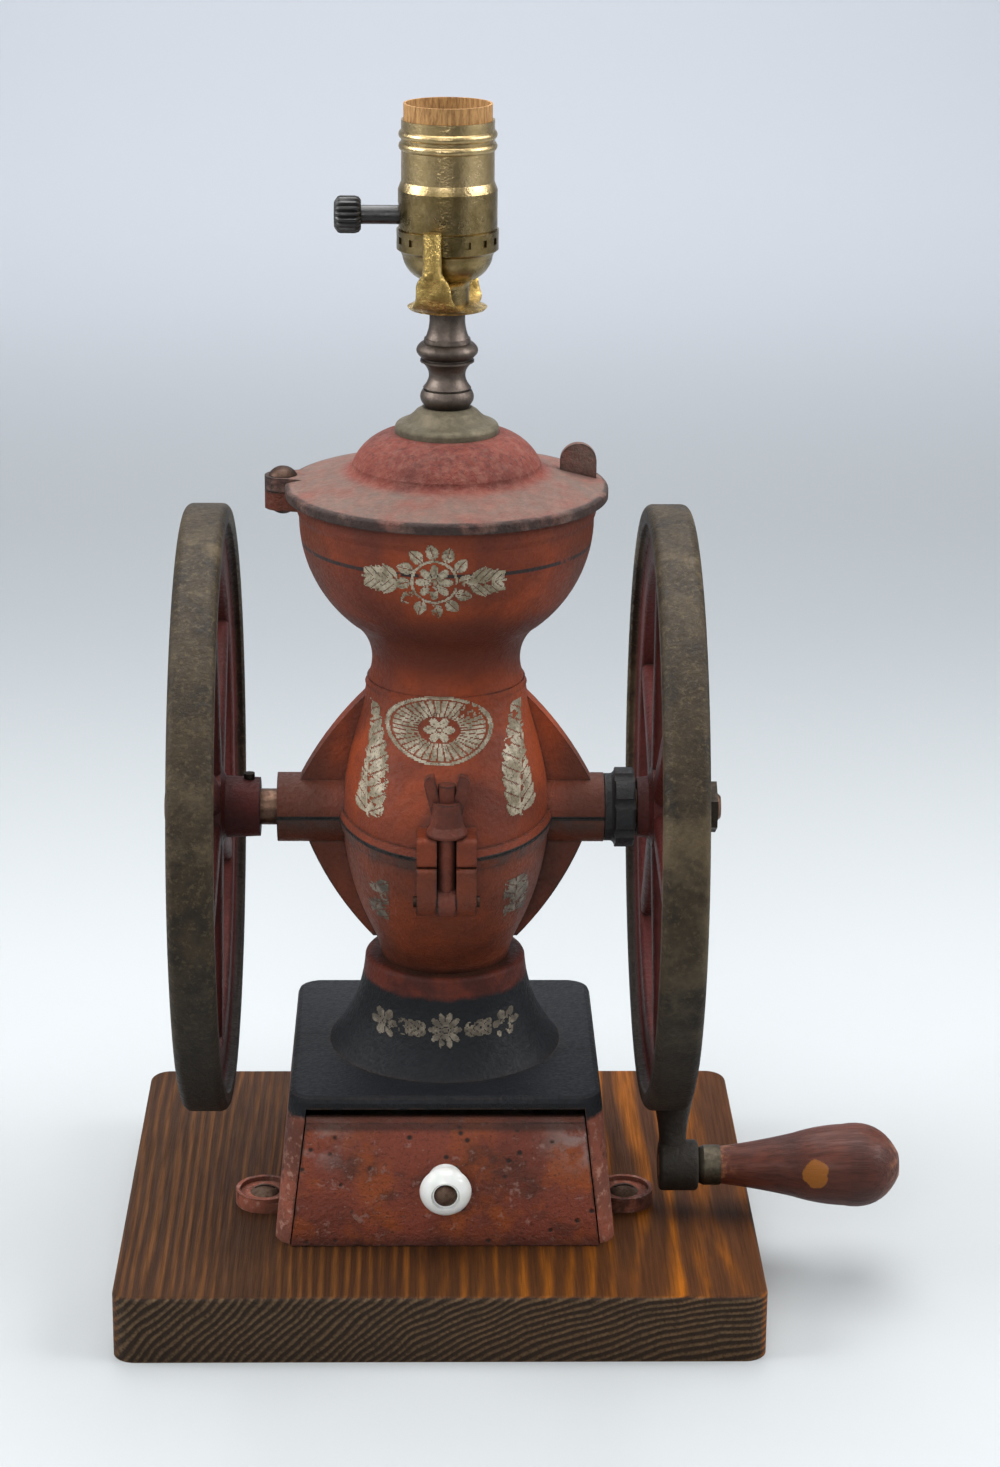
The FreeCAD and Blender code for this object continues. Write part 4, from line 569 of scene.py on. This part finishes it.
class MILL_OT_wheels(MillOperator):
    """Wheels with bronze rims and maroon spokes, and the shaft."""

    bl_idname = "mill.wheels"
    bl_label = "Wheels and shaft"

    def execute(self, context):
        look = looks()
        # Cast iron wheels: dull bronze paint on the rim, maroon enamel inside it
        dress(worn_paint("wheel_enamel", look.maroon, tone("#35150F"), look.iron, 0.5, gloss=0.2,
                         design=self.rim_colours), "left_wheel", "right_wheel")
        # Turned steel browned with age, and black iron
        dress(aged_metal("shaft_steel", tone("#6E5648"), tone("#3A2620"), 10 * MM, (0.35, 0.6)), "main_shaft",
              "crank_pin")
        dress(aged_metal("dark_iron", tone("#3B352F"), tone("#1E1A18"), 8 * MM, (0.45, 0.7)), "wheel_nut",
              "left_wheel_screw", "turning_burr", "feed_worm", "fixed_burr")
        # Cast bronze bearings, dull brown, and black enamel on the adjusting nut
        dress(aged_metal("bearing_bronze", tone("#9A6E38"), tone("#4E3318"), 10 * MM), "bearing_bush_left",
              "adjusting_sleeve")
        dress(worn_paint("adjuster_enamel", tone("#191A1C"), tone("#121214"), tone("#3A2D25"), 0.3), "adjusting_nut")
        return {"FINISHED"}

    def rim_colours(self, tree, place, skin):
        """Bronze paint outside the inner flange, worn to a dull brown, with painted shade darkening the lower part of
        the rim.
        """
        look = looks()
        bronze = coats(tree, look.rim, [
            (patches(tree, place, 14 * MM, (0.34, 0.66), detail=7, rough=0.68), look.rim_dark),
            (patches(tree, place, 2.2 * MM, (0.5, 0.66), (0, 0.7), 4, 0.75), tone("#4E432F")),
            (patches(tree, place, 40 * MM, (0.52, 0.66), (0, 0.5)), tone("#665842")),
            # Painted shade: the rim darker from the shaft's height downward
            (every(tree, along(tree, place, "Z", SHAFT_HEIGHT, SHAFT_HEIGHT - 0.7 * RIM_RADIUS), 0.8),
             tone("#1C1916"))])
        rim = round_axis(tree, place, (0, 1, 1), (0, 0, SHAFT_HEIGHT), RIM_RADIUS - 8 * MM, RIM_RADIUS - 6.8 * MM)
        return coats(tree, skin, [(rim, bronze)])


class MILL_OT_crank(MillOperator):
    """Turned wooden grip and its ferrule."""

    bl_idname = "mill.crank"
    bl_label = "Crank grip"

    def execute(self, context):
        look = looks()
        # Turned hardwood: long fibres along the handle, an amber patch and pale ends where hands have worn it
        material, tree, place = blank("grip_hardwood")
        fibres = add(tree, "Mapping", {"Vector": place, "Scale": (0.06, 1, 1)})
        fibre_width = 1.6 * MM
        fibre = patches(tree, fibres, fibre_width, (0.35, 0.72), rough=0.65)
        start, end = GRIP_LOW.x, GRIP_HIGH.x
        middle = (GRIP_LOW + GRIP_HIGH) / 2
        front = Vector((start + 34.5 * MM, GRIP_LOW.y + 4 * MM, middle.z + 2 * MM))
        ragged = patches(tree, place, 6 * MM, (0.2, 0.8), (-1 * MM, 1 * MM), 4)
        spot = add(tree, "VectorMath", {0: place, 1: ragged}, operation="ADD")
        amber = round_axis(tree, spot, (1, 0.7, 0.85), front, 4.8 * MM, 4.2 * MM)
        ends = either(tree, along(tree, place, "X", start + 7 * MM, start),
                      along(tree, place, "X", end - 8 * MM, end))
        skin = coats(tree, look.grip, [
            (patches(tree, place, 20 * MM, (0.34, 0.68)), tone("#40211A")),
            (every(tree, fibre, 0.6), tone("#2B140D")),
            (every(tree, ends, patches(tree, place, 7 * MM, (0.42, 0.62))), tone("#96603F")),
            # Painted shade: near black in corners and crevices
            (amber, tone("#8C5418")), (occlusion_shade(tree, 4 * MM, 0.7), tone("#1A0E09"))])
        finish(tree, fibre, 0.12 * MM, {
            "Base Color": skin, "Specular IOR Level": 0.25,
            "Roughness": patches(tree, fibres, fibre_width, (0.3, 0.75), (0.4, 0.62))})
        mesh = bmesh.new()
        cover(mesh, circles([(0, 6.9), (27.4, 11.8, -0.35), (45.5, 15, 0.6), (66.2, 4.6, 4.4)], "X",
                            Vector((start, middle.y, middle.z))))
        piece(mesh, "turned_grip", material, "grip", "grip_wood", "crank_grip")
        # Plated sheet ferrule, worn to a dull brown grey
        dress(aged_metal("ferrule_plate", tone("#5A5346"), tone("#332E27"), 8 * MM, (0.4, 0.65)), "grip_ferrule")
        return {"FINISHED"}


class MILL_OT_drawer(MillOperator):
    """Pitted drawer front, tin tray and porcelain knob."""

    bl_idname = "mill.drawer"
    bl_label = "Drawer"

    def execute(self, context):
        # Enamel on sheet iron, rusted in pits and rubbed pale toward the corners
        dress(worn_paint("drawer_enamel", tone("#884230"), tone("#6A3628"), tone("#2B1C16"), 0.6, 1.0,
                         depth=0.4 * MM, design=self.rubbed_corners), "drawer_front")
        # Folded tinned sheet, grey with brown stains
        dress(aged_metal("tin_sheet", tone("#8C877C"), tone("#55483A"), 20 * MM, (0.4, 0.6)), "drawer_tray")
        # Glazed porcelain: white, faintly warm in its thin places
        material, tree, place = blank("white_porcelain")
        glaze = patches(tree, place, 10 * MM, (0.3, 0.7), detail=3)
        finish(tree, glaze, 0.03 * MM, {
            "Base Color": coats(tree, tone("#F4F4F0"), [(every(tree, glaze, 0.6), tone("#E6E5DD"))]),
            "Roughness": patches(tree, place, 10 * MM, (0.3, 0.7), (0.12, 0.22), 3), "Subsurface Weight": 0.08})
        dress(material, "drawer_knob")
        # Iron screws under a matt brown rust
        dress(aged_metal("rusty_iron", tone("#5A4638"), tone("#3A2417"), 4 * MM, (0.5, 0.8), 0.6, 0.2 * MM),
              "knob_screw", "knob_nut", "base_screw_left", "base_screw_right")
        return {"FINISHED"}

    def rubbed_corners(self, tree, place, skin):
        """Pale bloom toward the sides, scratches and a darker lower edge."""
        low, high = box("drawer_front")
        middle = (low + high) / 2
        upper = along(tree, place, "Z", middle.z, high.z - 6 * MM)
        sides = round_axis(tree, place, (1, 0, 0), middle, 28 * MM, (high.x - low.x) / 2 - 4 * MM)
        bloom = patches(tree, place, 9 * MM, (0.4, 0.62), (0, 0.8), 6)
        scratch = add(tree, "Mapping", {"Vector": place, "Scale": (0.15, 1, 1), "Rotation": (0, 0.5, 0)})
        return coats(tree, skin, [
            (patches(tree, place, 22 * MM, (0.45, 0.62), (0, 0.8), 6), tone("#9A4D22")),
            (patches(tree, place, 14 * MM, (0.52, 0.68), (0, 0.7), 6), tone("#4C2A20")),
            (patches(tree, place, 1.4 * MM, (0.55, 0.66), (0, 0.55), 3), tone("#3E241C")),
            (patches(tree, place, 3.5 * MM, (0.58, 0.7), (0, 0.5), 5), tone("#A88074")),
            (every(tree, sides, upper, bloom), tone("#A08C86")),
            (patches(tree, scratch, 1.5 * MM, (0.66, 0.74), (0, 0.5)), tone("#A0715C")),
            (every(tree, along(tree, place, "Z", low.z + 8 * MM, low.z), 0.5), tone("#4C281F")),
            (every(tree, along(tree, place, "Z", high.z - 4.5 * MM, high.z - 2 * MM), 0.75), tone("#38231D"))])


class MILL_OT_clamp(MillOperator):
    """Swing bolt, wing nut, pins and the lid's rivet."""

    bl_idname = "mill.clamp"
    bl_label = "Clamp and pins"

    def execute(self, context):
        # Enamel rubbed off by fingers, and browned iron
        dress(worn_paint("wing_nut_enamel", tone("#70331F"), tone("#442118"), tone("#241B18"), 0.9), "wing_nut",
              "swing_bolt")
        dress(aged_metal("pin_iron", tone("#4A3A32"), tone("#2A1E1A"), 6 * MM, (0.45, 0.7)), "swing_bolt_pin",
              "rear_hinge_pin", "lid_rivet")
        return {"FINISHED"}


class MILL_OT_lamp(MillOperator):
    """Lamp stem, saddle, socket and switch key."""

    bl_idname = "mill.lamp"
    bl_label = "Lamp fittings"

    def execute(self, context):
        look = looks()
        # Spun and turned lamp fittings under a dark patina, cast gilt saddle and drawn brass shell
        dress(aged_metal("cap_patina", tone("#6B6250"), tone("#4C4638"), 10 * MM, (0.5, 0.7), 0.6), "vase_cap")
        self.spindle(aged_metal("spindle_bronze", tone("#645A53"), tone("#433C37"), 10 * MM, (0.42, 0.58)))
        self.saddle(aged_metal("gilt_brass", tone("#C6A864"), tone("#6E5A30"), 4 * MM, (0.18, 0.44), 1.0, 0.4 * MM))
        dress(aged_metal("socket_brass", look.brass, tone("#9A865C"), 12 * MM, (0.23, 0.36),
                         design=self.shell_patina_and_shade), "socket_cap", "socket_shell")
        dress(aged_metal("pipe_steel", tone("#8A8378"), tone("#54493E"), 10 * MM), "lamp_pipe", "pipe_washer",
              "pipe_nut")
        dress(aged_metal("contact_brass", tone("#C09A50"), tone("#8A6A34"), 10 * MM), "screw_shell",
              "centre_contact")
        # Pressed card: matt, with upright fibres
        material, tree, place = blank("pressed_card")
        fibres = add(tree, "Mapping", {"Vector": place, "Scale": (1, 1, 0.2)})
        fibre = patches(tree, fibres, 1.2 * MM, (0.35, 0.7), detail=4, rough=0.7)
        finish(tree, fibre, 0.2 * MM, {
            "Base Color": coats(tree, tone("#B58A55"), [(fibre, tone("#7E5830"))]), "Roughness": 0.85})
        dress(material, "socket_liner")
        # Moulded bakelite: black with a brown swirl
        material, tree, place = blank("black_bakelite")
        swirl = patches(tree, place, 4 * MM, (0.4, 0.7), detail=4)
        finish(tree, swirl, 0.1 * MM, {
            "Base Color": coats(tree, tone("#161515"), [(swirl, tone("#221F1E"))]),
            "Roughness": patches(tree, place, 4 * MM, (0.35, 0.7), (0.3, 0.48), 4)})
        dress(material, "switch_block")
        self.key(material)
        return {"FINISHED"}

    def shell_patina_and_shade(self, tree, place, skin):
        """Olive patina with painted shade on the shell's step and below it, dulling the step's reflection, streaked
        and thin in places.
        """
        low, high = box("socket_shell")
        step = low.z + 0.45 * (high.z - low.z)
        # Painted shade with patina: darker on the step and below it
        lower = every(tree, along(tree, place, "Z", step + 3 * MM, step - 1 * MM),
                      patches(tree, place, 7 * MM, (0.3, 0.65), (0.5, 0.95), 6))
        return coats(tree, skin, [(lower, tone("#6A5B38"))])

    def key(self, material):
        """Turn key with eighteen ribs round its head, which run out over its shoulder and its end."""
        low, high = box("switch_key")
        ribs, points = 18, 6
        axis = Vector((low.x, 0, (low.z + high.z) / 2))
        rings = []
        turns = [math.tau * step / (ribs * points) for step in range(ribs * points)]
        # Reach from the end, radius and depth of the grooves, in millimetres
        for reach, radius, groove in ((0, 4.4, 0), (0.3, 4.9, 0.1), (1.3, 6.3, 0.8), (2.2, 6.6, 1.0), (7.2, 6.6, 1.0),
                                      (8.5, 6.2, 0.7), (9.3, 5.1, 0.1), (9.4, 3.3, 0), (36.4, 3.3, 0)):
            sizes = [radius - groove * math.cos(turn * ribs / 2) ** 4 for turn in turns]
            rings.append([axis + Vector((reach, size * math.cos(turn), size * math.sin(turn))) * MM
                          for size, turn in zip(sizes, turns)])
        mesh = bmesh.new()
        cover(mesh, rings)
        piece(mesh, "ribbed_key", material, "switch", "bakelite", "switch_key")

    def spindle(self, material):
        """Two beads with crisp steps and hollow necks between them."""
        foot = box("lamp_spindle")[0].z
        mesh = bmesh.new()
        cover(mesh, circles([
            (0, 7.9), (0.8, 8.2), (6.2, 8.6, 1.1), (6.2, 7.9), (7, 7.9), (7, 8.5), (16.2, 9, -2.3), (16.2, 9.5),
            (16.9, 9.5), (16.9, 8.7), (17.5, 8.7), (23.1, 8.9, 2.1), (23.1, 8.3), (24.6, 8.1), (24.6, 7.7),
            (34.8, 6.6, -0.8)], "Z", Vector((0, 0, foot))))
        piece(mesh, "turned_spindle", material, "lid", "aged_bronze", "lamp_spindle")

    def saddle(self, material):
        """Cast plate with two leaf-shaped arms, each narrowing to a round sleeve."""
        foot = Vector((0, 0, box("harp_saddle")[0].z))
        mesh = bmesh.new()
        cover(mesh, circles([(0, 8), (0.2, 13.4), (1, 14), (1.8, 11), (2.4, 8.2)], "Z", foot))
        # Reach from the stem, height, half width and half thickness of an arm, in millimetres
        stations = [Vector(row) for row in (
            (9, 0.8, 9.4, 0.9), (15, 2.6, 8.6, 1.1), (18.4, 6.5, 6.6, 1.5), (19.8, 11.5, 6.0, 1.9),
            (20.6, 14.5, 4.4, 2.4), (20.9, 17, 3.4, 2.9), (21, 30, 3.2, 3.1))]
        line = list(eased(stations))
        turns = [math.tau * step / ARM_STEPS for step in range(ARM_STEPS)]
        for heading in (math.radians(75), math.radians(255)):
            out = Vector((math.cos(heading), math.sin(heading), 0))
            side = Vector((-out.y, out.x, 0))
            rings = []
            for here, before, after in zip(line, [line[0]] + line, line[1:] + [line[-1]]):
                rise = Vector((after.x - before.x, after.y - before.y)).normalized()
                across = -out * rise.y + Vector((0, 0, rise.x))
                spot = out * here.x + Vector((0, 0, here.y))
                rings.append([foot + (spot + side * here.z * math.cos(turn) + across * here.w * math.sin(turn)) * MM
                              for turn in turns])
            cover(mesh, rings)
        piece(mesh, "cast_saddle", material, "lid", "gilt_brass", "harp_saddle")


def leaf(u, v, x, y, length, width, angle):
    """True inside a pointed leaf with a midrib that starts at x, y along the angle; all in millimetres."""
    c, n = math.cos(angle), math.sin(angle)
    reach = (u - x) * c + (v - y) * n
    off = abs(-(u - x) * n + (v - y) * c)
    if not 0 < reach < length:
        return False
    half = width * math.sin(math.pi * (reach / length) ** 0.8) * 0.5
    return 0.035 * width < off < half


def rosette(u, v, radius, petals):
    """True inside a flower of round petals with open lines between them."""
    r = math.hypot(u, v)
    if r < radius * 0.2:
        return r < radius * 0.15
    lobe = abs(math.cos(math.atan2(v, u) * petals / 2))
    return r < radius * (0.55 + 0.45 * lobe) and lobe > 0.18


def bowl_wreath(u, v):
    """Ring of leaves round a rosette with a spray to each side."""
    r = math.hypot(u, v)
    if r < 6.8:
        return rosette(u, v, 6.6, 8)
    if r < 8.2:
        return r > 7.3
    step = math.tau / 12
    centre = round(math.atan2(v, u) / step) * step
    if r < 15 and leaf(u, v, 8.3 * math.cos(centre), 8.3 * math.sin(centre), 6.2, 4.6, centre + 0.3):
        return True
    side = abs(u)
    for number in range(4):
        x = 12.5 + 2.7 * number
        for tilt in (0.8, -0.8):
            if leaf(side, v, x, 0, 8.2 - 0.9 * number, 3.6, tilt):
                return True
    return 12 < side < 25 and abs(v) < 0.4


def case_medallion(u, v):
    """Oval with a sunburst round a rosette."""
    r = math.hypot(u / 1.8, v)
    if r > 10.6:
        return False
    if r > 9.7:
        return True
    if r > 9.2:
        return False
    if r < 4.2:
        return rosette(u / 1.4, v, 4.0, 6)
    return math.sin(math.atan2(v, u / 1.8) * 36) > -0.7


def side_sprig(u, v):
    """Upright fern sprig, widest a third of the way up."""
    if not -20 < v < 20:
        return False
    if abs(u - 0.8 * math.sin(v * 0.15)) < 0.4:
        return True
    for number in range(9):
        y = -18 + 3.9 * number
        size = 8.6 - 0.55 * abs(number - 3) * 1.6
        for tilt in (0.62, math.pi - 0.62):
            if leaf(u, v, 0, y, size * 1.2, 5.0, tilt):
                return True
    return False


def pedestal_band(u, v):
    """Three rosettes joined by leaf sprays."""
    if abs(u) < 7:
        return rosette(u, v, 6.2, 10)
    side = abs(u) - 22
    if abs(side) < 5:
        return rosette(side, v, 4.8, 6)
    for number in range(4):
        x = 7.0 + 2.9 * number
        for tilt in (0.6, -0.6):
            if leaf(abs(u), v, x, 0, 4.8, 2.6, tilt):
                return True
    return False


class MILL_OT_ornament(MillOperator):
    """Worn silver leaf ornament laid on the paint."""

    bl_idname = "mill.ornament"
    bl_label = "Ornament"

    def execute(self, context):
        # Silver leaf, tarnished to grey and straw in places
        silver = self.worn_leaf("silver_leaf", looks().silver, tone("#857A63"))
        dark = self.worn_leaf("tarnished_leaf", tone("#7C7364"), tone("#4A4338"))
        self.lay("bowl", "hopper", silver, bowl_wreath, (-4.5, 273.0), (25.5, 15), 0.55)
        self.lay("case", "hopper", silver, case_medallion, (-2.6, 214.0), (19.6, 11.2), 0.58)
        self.lay("left_sprig", "hopper", silver, side_sprig, (-27.6, 202.0), (7.2, 21), 0.56)
        self.lay("right_sprig", "hopper", silver, side_sprig, (26.8, 203.0), (7.2, 21), 0.6)
        self.lay("left_remnant", "lower_case", dark, side_sprig, (-25.0, 152.0), (4.6, 9), 0.3)
        self.lay("right_remnant", "lower_case", dark, side_sprig, (25.0, 152.0), (4.6, 9), 0.3)
        self.lay("pedestal", "mill_base", dark, pedestal_band, (0.0, 98.5), (27.5, 6.8), 0.5)
        return {"FINISHED"}

    def worn_leaf(self, name, bright, dull):
        """Beaten leaf with tarnish in patches and dark flecks where it has broken."""
        material, tree, place = blank(name)
        tarnish = patches(tree, place, 6 * MM, (0.36, 0.62), rough=0.65)
        flecks = patches(tree, place, 0.9 * MM, (0.5, 0.66), (0, 0.75), 3, 0.7)
        finish(tree, flecks, 0.08 * MM, {
            "Base Color": coats(tree, bright, [(tarnish, dull), (flecks, tone("#453D33"))]),
            "Metallic": 0.25, "Roughness": patches(tree, place, 6 * MM, (0.3, 0.7), (0.45, 0.65))})
        return material

    def lay(self, name, node, material, motif, centre, half, keep):
        """Lays a motif from the front on a CAD node and leaves the flakes that wear has spared; in millimetres."""
        far_front, steepest, deepest_step = -200, -0.2, 3
        # Worn places about 5 mm apart, with a finer ragged edge
        wear_scale, wear_plane, ragged_scale, ragged_share = 0.19, 7.3, 5.1, 0.22
        cell = looks().leaf_cell / MM
        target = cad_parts[node].data
        tree = BVHTree.FromPolygons([v.co for v in target.vertices], [f.vertices for f in target.polygons])
        columns, rows = (int(2 * reach / cell) for reach in half)
        mesh = bmesh.new()
        found = {}

        def corner(i, j):
            if (i, j) not in found:
                start = Vector((centre[0] - half[0] + i * cell, far_front, centre[1] - half[1] + j * cell)) * MM
                spot, normal, _, _ = tree.ray_cast(start, Vector((0, 1, 0)))
                faces_front = spot is not None and normal.y < steepest and spot.y < WEB_FRONT
                found[i, j] = mesh.verts.new(spot + normal * SURFACE_LIFT) if faces_front else None
            return found[i, j]

        for i in range(columns):
            for j in range(rows):
                u = (i + 0.5) * cell - half[0]
                v = (j + 0.5) * cell - half[1]
                spot = Vector(((centre[0] + u) * wear_scale, wear_plane, (centre[1] + v) * wear_scale))
                wear = 0.5 + 0.5 * noise.noise(spot) + ragged_share * noise.noise(spot * ragged_scale)
                if wear > keep + ragged_share or not motif(u, v):
                    continue
                corners = [corner(*where) for where in ((i, j), (i + 1, j), (i + 1, j + 1), (i, j + 1))]
                if None in corners:
                    continue
                depths = [point.co.y for point in corners]
                if max(depths) - min(depths) < deepest_step * cell * MM:
                    mesh.faces.new(corners)
        bmesh.ops.delete(mesh, geom=[vert for vert in mesh.verts if not vert.link_faces], context="VERTS")
        piece(mesh, "leaf_ornament_" + name, material, "mill", "tin_sheet")


PIECES = (MILL_OT_stage, MILL_OT_board, MILL_OT_castings, MILL_OT_wheels, MILL_OT_crank, MILL_OT_drawer,
          MILL_OT_clamp, MILL_OT_lamp, MILL_OT_ornament)


class MILL_PT_panel(bpy.types.Panel):
    """Buttons and settings for the mill."""

    bl_idname = "MILL_PT_panel"
    bl_label = "Coffee mill"
    bl_space_type = "VIEW_3D"
    bl_region_type = "UI"
    bl_category = "Mill"

    def draw(self, context):
        for operator in PIECES:
            self.layout.operator(operator.bl_idname)
        for name in MillLooks.__annotations__:
            self.layout.prop(context.scene.mill_looks, name)


def register():
    bpy.utils.register_class(MillLooks)
    bpy.types.Scene.mill_looks = bpy.props.PointerProperty(type=MillLooks)
    for operator in PIECES:
        bpy.utils.register_class(operator)
    bpy.utils.register_class(MILL_PT_panel)


def unregister():
    bpy.utils.unregister_class(MILL_PT_panel)
    for operator in reversed(PIECES):
        bpy.utils.unregister_class(operator)
    del bpy.types.Scene.mill_looks
    bpy.utils.unregister_class(MillLooks)


def main():
    register()
    for operator in PIECES:
        group, name = operator.bl_idname.split(".")
        getattr(getattr(bpy.ops, group), name)()
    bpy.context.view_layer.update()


if __name__ == "__main__":
    main()
